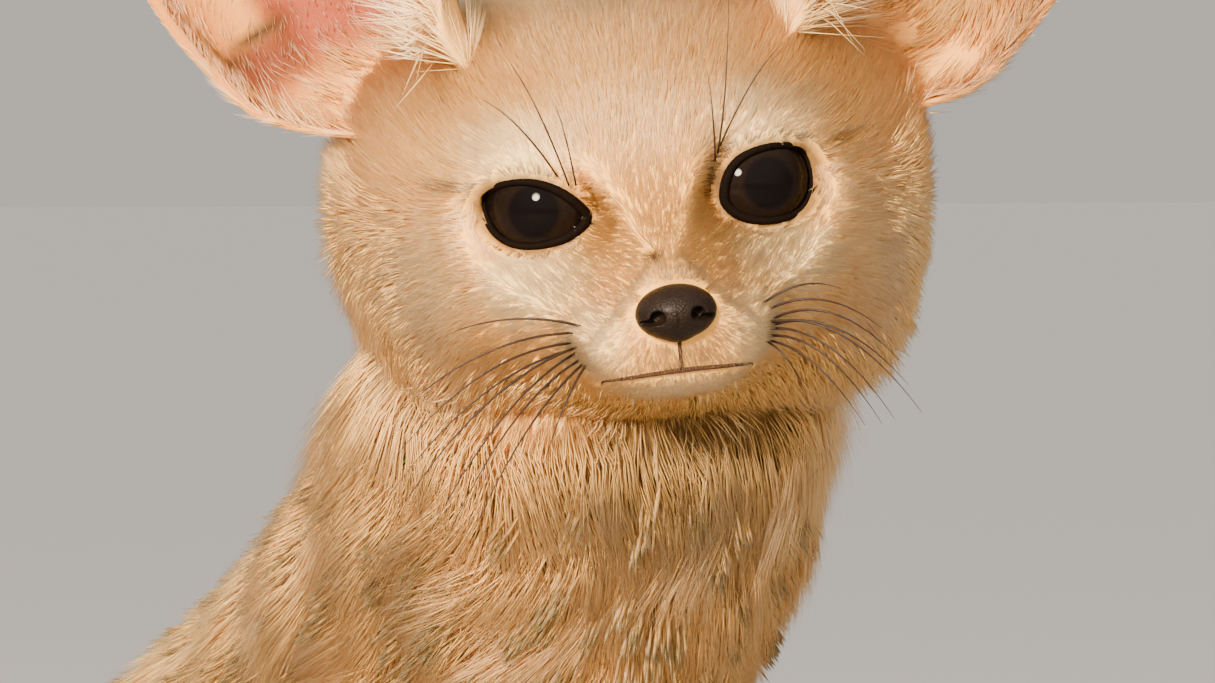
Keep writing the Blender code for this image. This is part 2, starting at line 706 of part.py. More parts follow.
def tail_locks(first, last, grow=0.0):
    """The locks of the brush whose roots lie between two shares of the tail's length."""
    rows, at = tail_line()
    luck = random.Random(RANDOM_SEED + 2)
    total = at[-1]
    made = []
    ring_count = int(total * TAIL_CORE_END / TAIL_LOCK_STEP)
    for k in range(ring_count):
        start = (k + 0.35) * TAIL_LOCK_STEP
        for j in range(TAIL_LOCKS_AROUND):
            length, width, thickness = lock_sizes(TAIL_LOCK, luck)
            turn = 2 * math.pi * (j + 0.5 * (k % 2) + luck.uniform(-0.12, 0.12)) / TAIL_LOCKS_AROUND
            if not first <= start / total < last:
                continue
            end = min(start + length, total)
            outer = float(np.interp(end, at, 0.5 * (rows[:, 3] + rows[:, 4])))
            core = TAIL_CORE_SHARE * float(np.interp(start, at, 0.5 * (rows[:, 3] + rows[:, 4])))
            points, normals = [], []
            for reach, rise in zip(LOCK_REACH, BRUSH_RISE):
                here = start + (end - start) * reach
                centre = np.array([np.interp(here, at, rows[:, i]) for i in range(3)])
                ahead = np.array([np.interp(here + 0.002, at, rows[:, i]) for i in range(3)])
                behind = np.array([np.interp(here - 0.002, at, rows[:, i]) for i in range(3)])
                along = unit(ahead - behind)
                side = unit(np.cross((0, 0, 1), along))
                ray = side * math.cos(turn) + np.cross(along, side) * math.sin(turn)
                depth = core - LOCK_ROOT_DEPTH
                points.append(centre + ray * (depth + (outer - depth) * rise))
                normals.append(ray)
            slim = min(1.0, core / (TAIL_CORE_SHARE * TAIL_THICKEST) + LOCK_VARIATION)
            made.append(blade(points, normals, width * slim, thickness, grow))
    return made


def make_flesh():
    """Trunk, neck, legs and tail root in one smooth body, to be parted into nodes."""
    body = tube("flesh", TRUNK, 40, 36)
    limbs = []
    for rows, count, sides in ((FORELEG, 26, 18), (THIGH, 24, 22), (SHANK, 14, 16)):
        limbs.append(tube("limb", rows, count, sides))
        limbs.append(tube("limb", mirrored(rows), count, sides))
    tail_root = smooth_rows(TAIL, 41)[:9]
    limbs.append(tube("tail_root", tail_root, 12, 20, side_axis=(0, 0, 1)))
    combine(body, limbs, "UNION")
    remesh = body.modifiers.new("blend", "REMESH")
    remesh.mode = "VOXEL"
    remesh.voxel_size = FLESH_VOXEL
    smooth = body.modifiers.new("smooth", "SMOOTH")
    smooth.factor = 0.5
    smooth.iterations = 8
    bake(body)
    decimate = body.modifiers.new("coarsen", "DECIMATE")
    decimate.ratio = FLESH_TRIANGLES / (2.0 * len(body.data.polygons))
    return bake(body)


def make_forepaw(word, side):
    """A forepaw with four toes and claws, flat under the sole."""
    rows = FOREPAW if side > 0 else mirrored(FOREPAW)
    paw = tube(f"forepaw_{word}", rows, 7, 10)
    combine(paw, toes(rows[-1]), "UNION")
    cut_flat(paw, (0, 0, FOREPAW_TOP - GAP), (0, 0, 1))
    return cut_flat(paw, (0, 0, 0), (0, 0, -1))


def toes(last):
    """Four toes and claws in front of a foot's last station."""
    made = []
    for place in (-1.5, -0.5, 0.5, 1.5):
        x = last[0] + place * TOE_SPACING
        y = last[1] - TOE_FORWARD + abs(place) * TOE_ARC
        made.append(ball("toe", (x, y, TOE_Z), TOE_HALF_SIZE, 6, 4))
        root = (x, y - CLAW_LENGTH, CLAW_ROOT_Z, CLAW_RADIUS, CLAW_RADIUS)
        tip = (x, y - 2 * CLAW_LENGTH, CLAW_TIP_Z, 0.3 * CLAW_RADIUS, 0.3 * CLAW_RADIUS)
        made.append(tube("claw", (root, tip), 2, 4))
    return made


def make_hind_foot(word, side):
    """A long hind foot with four toes and claws, flat under the sole."""
    rows = HIND_FOOT if side > 0 else mirrored(HIND_FOOT)
    foot = tube(f"hind_foot_{word}", rows, 7, 10)
    combine(foot, toes(rows[-1]), "UNION")
    return cut_flat(foot, (0, 0, 0), (0, 0, -1))


def tail_seam(share):
    """A point and the direction of the tail's middle line at a share of its length."""
    rows, at = tail_line()
    if share <= 0.0:
        return Vector(TAIL_SEAM[0]), Vector(TAIL_SEAM[1]).normalized()
    here = int(np.argmax(at >= share * at[-1]))
    return Vector(rows[here, :3]), Vector(unit(rows[here + 1, :3] - rows[here - 1, :3]))


def make_tail(word, start, end):
    """One length of the tail: a core under the locks of its brush, cut clear of the length before it."""
    rows, at = tail_line()
    rows[:, 3:] *= TAIL_CORE_SHARE
    total = at[-1]
    span = (at >= (start - TAIL_OVERLAP) * total) & (at <= min(end + TAIL_OVERLAP, TAIL_CORE_END) * total)
    length = tube(word, rows[span], 9, 12, side_axis=(0, 0, 1))
    point, along = tail_seam(start)
    if end < 1:
        cut_flat(length, *tail_seam(end))
    if start > 0:
        cut_flat(length, point + along * GAP, -along)
        combine(length, tail_locks(start, end), "UNION")
        longest = TAIL_LOCK[0] * (1.0 + LOCK_VARIATION)
        combine(length, tail_locks(max(0.0, start - longest / total), start, GAP), "DIFFERENCE")
    else:
        combine(length, tail_locks(start, end), "UNION")
        cut_flat(length, point + along * GAP, -along)
    return keep_largest(cut_flat(length, (0, 0, 0), (0, 0, -1)))


def merge_flat(obj):
    """Joins the flat scraps that the unions leave, without changing the shape."""
    shape = bmesh.new()
    shape.from_mesh(obj.data)
    bmesh.ops.dissolve_limit(shape, angle_limit=FLAT_ANGLE, verts=shape.verts, edges=shape.edges)
    bmesh.ops.triangulate(shape, faces=shape.faces)
    shape.to_mesh(obj.data)
    shape.free()


def coat(colour):
    """The material of a finish, made once."""
    material = bpy.data.materials.get(colour) or bpy.data.materials.new(colour)
    material.use_nodes = True
    shader = material.node_tree.nodes["Principled BSDF"]
    base, roughness = COLOURS[colour]
    shader.inputs["Base Color"].default_value = (*base, 1.0)
    shader.inputs["Roughness"].default_value = roughness
    return material


def empty(name, parent, placed):
    """An empty that carries other objects."""
    obj = bpy.data.objects.new(name, None)
    bpy.context.scene.collection.objects.link(obj)
    obj.parent = parent
    obj.matrix_local = placed
    return obj


def finish(obj, colour, parent):
    """Gives a node its parent, its finish and smooth shading."""
    obj.parent = parent
    merge_flat(obj)
    obj.data.materials.clear()
    obj.data.materials.append(coat(colour))
    obj.data.shade_smooth()
    obj.data.set_sharp_from_angle(angle=SHARP_ANGLE)


def part_body(flesh):
    """Parts the flesh into neck, torso, thighs and forelegs with thin cuts, and adds the locks."""
    point, normal = Vector(NECK_SEAM[0]), Vector(NECK_SEAM[1]).normalized()
    tree = surface_of(flesh)
    cut_flat(flesh, (0, 0, 0), (0, 0, -1))
    cut_flat(flesh, *TAIL_SEAM)
    neck = duplicate(flesh, "neck")
    cut_flat(neck, point + normal * GAP, -normal)
    on_chest = lambda root, out: (
        (root - point).dot(normal) < -0.002 and root.z > CHEST_LOCK_FLOOR and out.y < CHEST_LOCK_BACK
    )
    over_seam = lambda root, out: (root - point).dot(normal) > 0.0
    combine(neck, trunk_locks(tree, NECK_LOCK_ROWS, over_seam), "UNION")
    bare = head_shell("bare")
    over_neck = [head_shell("skull", GAP), *cheek_locks(surface_of(bare), GAP)]
    delete(bare)
    for cutter in over_neck:
        cutter.data.transform(on_head())
    combine(neck, over_neck, "DIFFERENCE")
    nodes = [neck]
    torso = duplicate(flesh, "torso")
    cut_flat(torso, point, normal)
    cutters = []
    for word, side in (("left", 1), ("right", -1)):
        centre, half = THIGH_REGION
        centre = (side * centre[0], centre[1], centre[2])
        thigh = duplicate(flesh, f"thigh_{word}")
        combine(thigh, [ball("region", centre, half, 20, 12)], "INTERSECT")
        foot = HIND_FOOT if side > 0 else mirrored(HIND_FOOT)
        combine(thigh, [tube("foot", foot, 7, 10, grow=GAP)], "DIFFERENCE")
        cutters.append(ball("region", centre, [h + GAP for h in half], 20, 12))
        cutters.append(tube("foot", foot, 7, 10, grow=GAP))
        leg = duplicate(flesh, f"foreleg_{word}")
        low = (min(0.0, side * CUT_REACH), -CUT_REACH, FOREPAW_TOP)
        high = (max(0.0, side * CUT_REACH), FORELEG_BACK, FORELEG_TOP)
        combine(leg, [block("region", low, high)], "INTERSECT")
        nodes += [thigh, leg]
    below = (-CUT_REACH, -CUT_REACH, -CUT_REACH), (CUT_REACH, FORELEG_BACK + GAP, FORELEG_TOP + GAP)
    cutters.append(block("below", *below))
    combine(torso, cutters, "DIFFERENCE")
    combine(torso, trunk_locks(tree, CHEST_LOCK_ROWS, on_chest), "UNION")
    cut_flat(torso, point, normal)
    combine(torso, trunk_locks(tree, NECK_LOCK_ROWS, over_seam, GAP), "DIFFERENCE")
    return [*nodes, torso]


def main():
    """Builds every node and puts it in its place."""
    delete(*list(bpy.data.objects))
    fox = empty("fox", None, Matrix.Translation((*BODY_SHIFT, 0.0)))
    head_seat = empty("head_seat", fox, on_head())
    on_seat = [make_head(), make_nose(), *make_eyes(), make_ear("left", 1), make_ear("right", -1)]
    flesh = make_flesh()
    on_fox = part_body(flesh)
    delete(flesh)
    for word, side in (("left", 1), ("right", -1)):
        on_fox += [make_forepaw(word, side), make_hind_foot(word, side)]
    on_fox += [make_tail(*length) for length in TAIL_PARTS]
    for parent, nodes in ((head_seat, on_seat), (fox, on_fox)):
        for node in nodes:
            finish(node, NODE_COLOURS.get(node.name.split("_")[0], "sandy_coat"), parent)
    bpy.data.objects["tail_tip"].data.materials[0] = coat("dark_coat")


main()
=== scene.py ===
"""Looks of the life-size fennec fox: one skin, a grown coat, eyes, nose, claws and whiskers.

Metres, +Z up. The skin repeats the solids' own plan, less the depth of the coat, and the coat
grows out of the skin to the solids' surface.
"""

import logging
import math
from dataclasses import dataclass, field, replace
from enum import Enum

import bmesh
import bpy
import numpy as np
from mathutils import Matrix, Vector
from mathutils.bvhtree import BVHTree
from mathutils.kdtree import KDTree


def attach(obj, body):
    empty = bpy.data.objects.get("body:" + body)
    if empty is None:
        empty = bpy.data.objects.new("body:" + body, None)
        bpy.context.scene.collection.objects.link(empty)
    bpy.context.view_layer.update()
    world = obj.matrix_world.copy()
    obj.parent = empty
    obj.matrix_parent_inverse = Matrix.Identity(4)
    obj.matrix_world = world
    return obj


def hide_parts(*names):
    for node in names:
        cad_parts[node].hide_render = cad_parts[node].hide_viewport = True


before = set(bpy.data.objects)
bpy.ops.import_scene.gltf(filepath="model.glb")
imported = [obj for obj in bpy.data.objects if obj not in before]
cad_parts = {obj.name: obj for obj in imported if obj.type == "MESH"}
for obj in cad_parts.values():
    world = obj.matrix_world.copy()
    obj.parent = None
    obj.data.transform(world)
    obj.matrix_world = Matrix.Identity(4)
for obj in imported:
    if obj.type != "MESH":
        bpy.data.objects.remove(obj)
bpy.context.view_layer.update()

LOG = logging.getLogger("fennec")
Rows = tuple[tuple[float, ...], ...]
BODY_SHIFT = Vector((-0.030, -0.018, 0.0))
COAT_SEED = 11
BORDER_SEED = 5
PIECE_TRIANGLES = 190000
MEASURED_AT_ONCE = 20000
STATION_REACH = 0.004
UNWRAP_NAME = "OFBake"
PATCH_SIZE = 0.003


class Side(Enum):
    """A side of the fox, as the sign of its X."""

    LEFT = 1
    RIGHT = -1


class Region(Enum):
    """A kind of coat on the body."""

    MUZZLE = 0
    FACE = 1
    CROWN = 2
    RUFF = 3
    NECK = 4
    TRUNK = 5
    LEG = 6
    PAW = 7
    TAIL = 8
    EAR_BACK = 9
    EAR_FRONT = 10


@dataclass(frozen=True)
class CoatStyle:
    """How one region's coat grows: sizes in metres, density in tufts a square millimetre."""

    width: float
    density: float
    bends: bool
    clump: float
    scatter: float
    wave: float = 0.0


COAT_STYLES = {
    Region.MUZZLE: CoatStyle(0.00018, 9.0, False, 0.0, 0.14),
    Region.FACE: CoatStyle(0.00022, 7.0, False, 0.12, 0.12, 0.10),
    Region.CROWN: CoatStyle(0.00026, 7.0, False, 0.20, 0.12, 0.14),
    Region.RUFF: CoatStyle(0.00025, 4.4, True, 0.22, 0.14, 0.26),
    Region.NECK: CoatStyle(0.00027, 2.6, True, 0.24, 0.13, 0.46),
    Region.TRUNK: CoatStyle(0.00044, 0.92, True, 0.40, 0.14, 0.30),
    Region.LEG: CoatStyle(0.00034, 1.5, False, 0.30, 0.16, 0.25),
    Region.PAW: CoatStyle(0.00032, 1.9, False, 0.20, 0.20, 0.15),
    Region.TAIL: CoatStyle(0.00046, 1.1, True, 0.40, 0.16, 0.25),
    Region.EAR_BACK: CoatStyle(0.00028, 2.6, False, 0.25, 0.18, 0.10),
    Region.EAR_FRONT: CoatStyle(0.00020, 2.6, True, 0.25, 0.16, 0.25),
}
WAVE_LENGTHS = (0.011, 0.016, 0.023)


@dataclass(frozen=True)
class HeadPlan:
    """The head's sizes in its own frame: -Y ahead, +X the fox's left, +Z the crown."""

    centre: tuple[float, float, float] = (0.0, -0.070, 0.218)
    turn_deg: float = -31.0
    nod_deg: float = 4.5
    tilt_deg: float = -7.0
    squareness: float = 0.92
    end_reach: float = 0.3
    rings: int = 100
    sides: int = 120
    cheek_millimetres: float = 12.0
    low_cheek_millimetres: float = 7.0
    throat_millimetres: float = 6.0
    chin_millimetres: float = 1.5
    coat_places: tuple[float, ...] = (-0.060, -0.045, -0.030, -0.010, 0.010, 0.035)
    coat_millimetres: tuple[float, ...] = (2.0, 2.8, 4.2, 6.2, 8.0, 11.0)
    # y, half width, crown z, jaw z, z of the widest point
    sections: Rows = (
        (-0.0585, 0.0060, -0.0062, -0.0165, -0.0115),
        (-0.0560, 0.0098, -0.0044, -0.0210, -0.0130),
        (-0.0500, 0.0135, -0.0018, -0.0238, -0.0140),
        (-0.0430, 0.0178, 0.0022, -0.0252, -0.0135),
        (-0.0360, 0.0245, 0.0098, -0.0268, -0.0105),
        (-0.0280, 0.0325, 0.0200, -0.0286, -0.0065),
        (-0.0180, 0.0400, 0.0285, -0.0304, -0.0040),
        (-0.0050, 0.0448, 0.0340, -0.0315, -0.0025),
        (0.0080, 0.0456, 0.0355, -0.0310, -0.0005),
        (0.0200, 0.0408, 0.0320, -0.0275, 0.0015),
        (0.0300, 0.0300, 0.0230, -0.0190, 0.0030),
        (0.0350, 0.0145, 0.0120, -0.0080, 0.0030),
    )
    # x, y, z, radius, height
    spots: Rows = (
        (0.0175, -0.0300, 0.0145, 0.0080, 0.0016),
        (0.0000, -0.0370, 0.0070, 0.0070, -0.0014),
        (0.0110, -0.0420, -0.0020, 0.0060, -0.0012),
        (0.0085, -0.0520, -0.0165, 0.0060, 0.0016),
        (0.0290, -0.0160, -0.0160, 0.0140, 0.0024),
        (0.0360, 0.0040, 0.0200, 0.0140, 0.0030),
        (0.0180, -0.0300, -0.0200, 0.0100, -0.0012),
    )

    def pose(self) -> Matrix:
        """The matrix from the head's own frame to the world."""
        return (
            Matrix.Translation(BODY_SHIFT + Vector(self.centre))
            @ Matrix.Rotation(math.radians(self.turn_deg), 4, "Z")
            @ Matrix.Rotation(math.radians(self.nod_deg), 4, "X")
            @ Matrix.Rotation(math.radians(self.tilt_deg), 4, "Y")
        )

    def coat_depth(self, points: np.ndarray) -> np.ndarray:
        """How deep the skin lies under the coat at points of the head.

        Args:
            points: Points in the head's frame.

        Returns:
            A depth in metres for each point.
        """
        _, y, z = points.T
        depth = 0.0006 + 0.0020 * smooth_step(-0.048, 0.000, y)
        depth += 0.0026 * smooth_step(-0.016, 0.010, y) * smooth_step(0.012, -0.010, z)
        depth += 0.0040 * smooth_step(0.012, 0.032, y)
        return depth

    def coat_length(self, points: np.ndarray) -> np.ndarray:
        """How long the coat is at points of the head, in metres."""
        x, y, z = points.T
        length = np.interp(y, self.coat_places, self.coat_millimetres)
        cheek = smooth_step(-0.020, 0.006, y) * smooth_step(0.010, -0.010, z)
        low_cheek = smooth_step(0.012, 0.022, np.abs(x)) * smooth_step(-0.008, -0.020, z)
        throat = smooth_step(-0.040, -0.015, y)
        chin = smooth_step(-0.052, -0.030, y)
        length += self.cheek_millimetres * cheek + self.low_cheek_millimetres * cheek * low_cheek
        length += self.throat_millimetres * throat * smooth_step(-0.012, -0.024, z)
        length += self.chin_millimetres * chin * smooth_step(-0.016, -0.024, z)
        return 0.001 * length

    def coat_height(self, points: np.ndarray) -> np.ndarray:
        """How high over the skin the coat's tips lie at points of the head, in metres."""
        _, y, z = points.T
        cheek = smooth_step(-0.020, 0.006, y) * smooth_step(0.010, -0.010, z)
        hanging = smooth_step(-0.040, -0.015, y) * smooth_step(-0.012, -0.024, z)
        rise = 0.0004 + 0.0010 * smooth_step(-0.045, -0.010, y) + 0.0025 * cheek
        return self.coat_depth(points) + rise + 0.0065 * hanging


@dataclass(frozen=True)
class EyePlan:
    """The sizes of the eyes and the opening of their lids, in the head's frame."""

    radius: float = 0.0094
    centre: tuple[float, float, float] = (0.0152, -0.0252, 0.0032)
    out_deg: float = 16.0
    up_deg: float = 3.0
    lid_wall: float = 0.0006
    rim_radius: float = 0.00072
    hug: tuple[float, float] = (0.0088, 0.0070)
    orbit_rise: float = 1.2
    orbit_fall: float = 0.70
    orbit_reach: float = 2.2
    pupil_deg: float = 24.0
    iris_deg: float = 44.0
    smoothing: int = 4
    # The openings between the lids, outwards and up from the way each eye looks, from the inner corner
    right_opening: Rows = (
        (-0.0075, -0.0012),
        (-0.0047, 0.0022),
        (-0.0012, 0.0041),
        (0.0022, 0.0046),
        (0.0058, 0.0042),
        (0.0086, 0.0028),
        (0.0085, 0.0005),
        (0.0073, -0.0022),
        (0.0048, -0.0043),
        (0.0012, -0.0052),
        (-0.0036, -0.0047),
        (-0.0064, -0.0031),
    )
    left_opening: Rows = (
        (-0.0067, -0.0012),
        (-0.0056, 0.0024),
        (-0.0031, 0.0045),
        (0.0006, 0.0053),
        (0.0044, 0.0051),
        (0.0077, 0.0039),
        (0.0086, 0.0012),
        (0.0080, -0.0021),
        (0.0057, -0.0047),
        (0.0019, -0.0057),
        (-0.0026, -0.0053),
        (-0.0055, -0.0036),
    )

    def middle(self, side: Side) -> Vector:
        """The middle of an eyeball."""
        return Vector((side.value * self.centre[0], self.centre[1], self.centre[2]))

    def axis(self, side: Side) -> Vector:
        """The way an eye looks."""
        out, up = math.radians(self.out_deg), math.radians(self.up_deg)
        return Vector(
            (side.value * math.sin(out) * math.cos(up), -math.cos(out) * math.cos(up), math.sin(up))
        )

    def axes(self, side: Side) -> tuple[Vector, Vector]:
        """The directions across the opening, outwards, and up it."""
        across = Vector((0, 0, 1)).cross(self.axis(side)).normalized() * side.value
        return across, self.axis(side).cross(across) * side.value

    def outline(self, side: Side) -> list[tuple[float, float]]:
        """The almond outline of an eye's open lids, across and up, as a smooth closed curve."""
        given = np.asarray(self.left_opening if side is Side.LEFT else self.right_opening)
        before, after, beyond = (np.roll(given, shift, axis=0) for shift in (1, -1, -2))
        points = []
        for i in range(len(given)):
            for t in np.arange(self.smoothing) / self.smoothing:
                points.append(
                    given[i]
                    + 0.5 * t * (after[i] - before[i])
                    + t**2 * (before[i] - 2.5 * given[i] + 2.0 * after[i] - 0.5 * beyond[i])
                    + 0.5 * t**3 * (3.0 * given[i] - before[i] - 3.0 * after[i] + beyond[i])
                )
        return [(float(x), float(z)) for x, z in points]

    def lid_skin(self, points: np.ndarray) -> np.ndarray:
        """Lays the head's skin on the balls of the eyes, with a soft slope round each.

        Args:
            points: The skin's corners in the head's frame.

        Returns:
            The corners, those round the eyes moved along the way the eyes look.
        """
        wall = self.radius + self.lid_wall
        for side in Side:
            axis = np.array(self.axis(side))
            across, upright = (np.array(v) for v in self.axes(side))
            off = points - np.array(self.middle(side))
            along = off @ axis
            far = np.linalg.norm(off - np.outer(along, axis), axis=1)
            share = np.maximum(np.hypot(off @ across / self.hug[0], off @ upright / self.hug[1]), 1.0)
            ball_level = np.sqrt(wall**2 - np.minimum(far / share, self.hug[0]) ** 2)
            beyond = far * (1.0 - 1.0 / share)
            least, most = ball_level - self.orbit_fall * beyond, ball_level + self.orbit_rise * beyond
            level = np.clip(along, least, most)
            near = (along > 0.0) & (far < self.orbit_reach * wall)
            points = points + np.outer((level - along) * near, axis)
        return points

    def round_eye(self, head: np.ndarray, side: Side) -> tuple[np.ndarray, np.ndarray, np.ndarray]:
        """Where points of the head lie round an eye.

        Args:
            head: Points in the head's frame.
            side: Which eye.

        Returns:
            Their distance from the lids' edge, from the eye's middle, and their way off its axis.
        """
        across, upright = (np.array(v) for v in self.axes(side))
        axis = np.array(self.axis(side))
        off = head - np.array(self.middle(side))
        along = off @ axis
        flat = off - np.outer(along, axis)
        edge = np.full(len(head), 1.0)
        for x, z in self.outline(side):
            edge = np.minimum(edge, np.hypot(off @ across - x, off @ upright - z))
        return np.where(along > 0.0, edge, 1.0), np.linalg.norm(off, axis=1), flat


@dataclass(frozen=True)
class EarPlan:
    """The cups of the ears. Sections give a share of the length, half width, half angle, shift inwards."""

    length: float = 0.102
    seats: tuple[tuple[float, float, float], ...] = ((0.0335, 0.0020, 0.0175), (-0.0355, 0.0020, 0.0225))
    leans_deg: tuple[float, float] = (30.0, 19.0)
    open_out_deg: float = 24.0
    tip_forward_deg: float = 4.0
    back_share: float = 0.55
    wall: tuple[float, float] = (0.0005, 0.0021)
    stations: int = 72
    across: int = 44
    ridge_height: float = 0.0011
    bare_from: tuple[float, float] = (0.15, 0.0)
    sections: Rows = (
        (-0.16, 0.0060, 110.0, 0.0190),
        (-0.07, 0.0110, 112.0, 0.0100),
        (0.03, 0.0170, 108.0, 0.0015),
        (0.15, 0.0215, 98.0, 0.0000),
        (0.30, 0.0252, 88.0, 0.0000),
        (0.45, 0.0266, 78.0, 0.0000),
        (0.65, 0.0240, 66.0, 0.0000),
        (0.82, 0.0168, 56.0, 0.0000),
        (0.94, 0.0085, 48.0, 0.0000),
        (1.00, 0.0024, 40.0, 0.0000),
    )

    def seat(self, side: Side) -> Matrix:
        """The matrix from an ear's own frame to the head's."""
        at = 0 if side is Side.LEFT else 1
        return (
            Matrix.Translation(self.seats[at])
            @ Matrix.Rotation(side.value * math.radians(self.leans_deg[at]), 4, "Y")
            @ Matrix.Rotation(side.value * math.radians(self.open_out_deg), 4, "Z")
            @ Matrix.Rotation(math.radians(self.tip_forward_deg), 4, "X")
        )

    def bare_height(self, head: np.ndarray, tall: np.ndarray) -> np.ndarray:
        """Heights up an ear, lowered by where its bare part starts on that side."""
        return tall - np.where(head[:, 0] > 0.0, *self.bare_from)

    def rows(self) -> np.ndarray:
        """The sections at every station: height, half width, half angle in radians, shift."""
        rows = smooth_rows([(s * self.length, *rest) for s, *rest in self.sections], self.stations, 1)
        rows[:, 2] = np.radians(rows[:, 2])
        return rows


@dataclass(frozen=True)
class Limb:
    """A tube of the body: its stations, how deep its skin lies, its fineness and its kind of coat."""

    rows: Rows
    depth: float
    count: int
    sides: int
    region: Region
    length: float
    height: float
    backwards: bool = False
    side_axis: tuple[float, float, float] = (1.0, 0.0, 0.0)

    def mirrored(self) -> "Limb":
        """The same limb on the fox's right."""
        return replace(self, rows=tuple((-row[0], *row[1:]) for row in self.rows))


TRUNK = Limb(
    (
        (0.0, 0.100, 0.017, 0.031, 0.027),
        (0.0, 0.085, 0.047, 0.045, 0.042),
        (0.0, 0.056, 0.077, 0.050, 0.046),
        (0.0, 0.023, 0.105, 0.048, 0.046),
        (0.0, -0.013, 0.131, 0.0425, 0.0425),
        (0.0, -0.039, 0.156, 0.0400, 0.0390),
        (0.0, -0.057, 0.183, 0.0370, 0.0360),
        (0.0, -0.067, 0.206, 0.0305, 0.0295),
        (0.0, -0.070, 0.224, 0.018, 0.018),
    ),
    0.0060, 60, 64, Region.TRUNK, 0.0170, 0.0066, True,
)
FORELEG = Limb(
    (
        (0.023, -0.026, 0.146, 0.012, 0.020),
        (0.026, -0.034, 0.118, 0.016, 0.022),
        (0.023, -0.040, 0.090, 0.0135, 0.0165),
        (0.020, -0.049, 0.060, 0.0105, 0.0120),
        (0.019, -0.055, 0.032, 0.0095, 0.0102),
        (0.019, -0.057, 0.016, 0.0098, 0.0098),
    ),
    0.0026, 40, 32, Region.LEG, 0.0070, 0.0022,
)
THIGH = Limb(
    (
        (0.032, 0.090, 0.078, 0.012, 0.018),
        (0.040, 0.075, 0.072, 0.021, 0.031),
        (0.046, 0.050, 0.063, 0.025, 0.038),
        (0.050, 0.024, 0.053, 0.022, 0.033),
        (0.050, 0.002, 0.044, 0.0150, 0.0230),
        (0.050, -0.010, 0.039, 0.007, 0.013),
    ),
    0.0045, 40, 40, Region.TRUNK, 0.0130, 0.0042,
)
SHANK = Limb(
    (
        (0.050, 0.004, 0.036, 0.012, 0.014),
        (0.051, 0.040, 0.023, 0.0110, 0.013),
        (0.051, 0.068, 0.015, 0.0100, 0.011),
    ),
    0.0030, 24, 28, Region.LEG, 0.0070, 0.0026,
)
HIND_FOOT = Limb(
    (
        (0.051, 0.074, 0.010, 0.006, 0.007),
        (0.051, 0.065, 0.0095, 0.0088, 0.0095),
        (0.052, 0.036, 0.0075, 0.0092, 0.0088),
        (0.053, 0.004, 0.0072, 0.0108, 0.0088),
        (0.053, -0.011, 0.0060, 0.0100, 0.0072),
    ),
    0.0012, 40, 32, Region.PAW, 0.0062, 0.0017,
)
FOREPAW = Limb(
    (
        (0.019, -0.0545, 0.0320, 0.0096, 0.0102),
        (0.019, -0.0550, 0.0170, 0.0098, 0.0100),
        (0.019, -0.0600, 0.0100, 0.0104, 0.0110),
        (0.019, -0.0690, 0.0080, 0.0110, 0.0092),
        (0.019, -0.0760, 0.0065, 0.0098, 0.0074),
    ),
    0.0012, 32, 32, Region.PAW, 0.0058, 0.0017,
)
TAIL = Limb(
    (
        (0.000, 0.098, 0.030, 0.014, 0.015),
        (0.010, 0.120, 0.026, 0.019, 0.020),
        (0.038, 0.136, 0.025, 0.023, 0.023),
        (0.074, 0.130, 0.026, 0.026, 0.026),
        (0.101, 0.104, 0.026, 0.027, 0.027),
        (0.113, 0.067, 0.026, 0.027, 0.027),
        (0.112, 0.029, 0.025, 0.026, 0.026),
        (0.103, -0.004, 0.022, 0.021, 0.022),
        (0.092, -0.030, 0.017, 0.012, 0.014),
        (0.086, -0.043, 0.014, 0.003, 0.004),
    ),
    0.0, 90, 28, Region.TAIL, 0.0300, 0.0, False, (0.0, 0.0, 1.0),
)
NECK_FILL = 0.60
WRIST_FILL = 0.54
TAIL_CORE_SHARE = 0.50
TAIL_CORE_END = 0.90
TAIL_DARK_FROM = 0.66


@dataclass(frozen=True)
class ToePlan:
    """Four toes and claws ahead of a foot's last station."""

    half_size: tuple[float, float, float] = (0.0031, 0.0070, 0.0045)
    spacing: float = 0.0056
    forward: float = 0.0035
    arc: float = 0.0026
    height: float = 0.0044
    claw_length: float = 0.0055
    claw_radius: float = 0.0010
    claw_root_z: float = 0.0052
    claw_tip_z: float = 0.0024
    claw_arch: float = 0.0008
    claw_taper: float = 0.85
    claw_stations: int = 10

    def places(self, foot: Limb) -> list[tuple[float, float]]:
        """The middle of each toe on the floor's plane."""
        x, y = foot.rows[-1][:2]
        return [
            (x + place * self.spacing, y - self.forward + abs(place) * self.arc)
            for place in (-1.5, -0.5, 0.5, 1.5)
        ]


HEAD = HeadPlan()
EYES = EyePlan()
EARS = EarPlan()
TOES = ToePlan()
LIMBS = (
    TRUNK, TAIL,
    FORELEG, FORELEG.mirrored(), THIGH, THIGH.mirrored(), SHANK, SHANK.mirrored(),
    HIND_FOOT, HIND_FOOT.mirrored(), FOREPAW, FOREPAW.mirrored(),
)


def smooth_step(low: float, high: float, values: np.ndarray) -> np.ndarray:
    """A smooth rise from 0 at low to 1 at high, or a fall where low is the larger."""
    t = np.clip((values - low) / (high - low), 0.0, 1.0)
    return t * t * (3.0 - 2.0 * t)


def unit(vectors: np.ndarray) -> np.ndarray:
    """The vectors at length one."""
    return vectors / np.maximum(np.linalg.norm(vectors, axis=-1, keepdims=True), 1e-12)


def dot(first: np.ndarray, second: np.ndarray) -> np.ndarray:
    """The product of each vector with its partner."""
    return np.einsum("nc,nc->n", first, second)


def laid_flat(vectors: np.ndarray, normals: np.ndarray) -> np.ndarray:
    """The vectors turned into the skin's plane, at length one."""
    return unit(vectors - normals * dot(vectors, normals)[:, None])


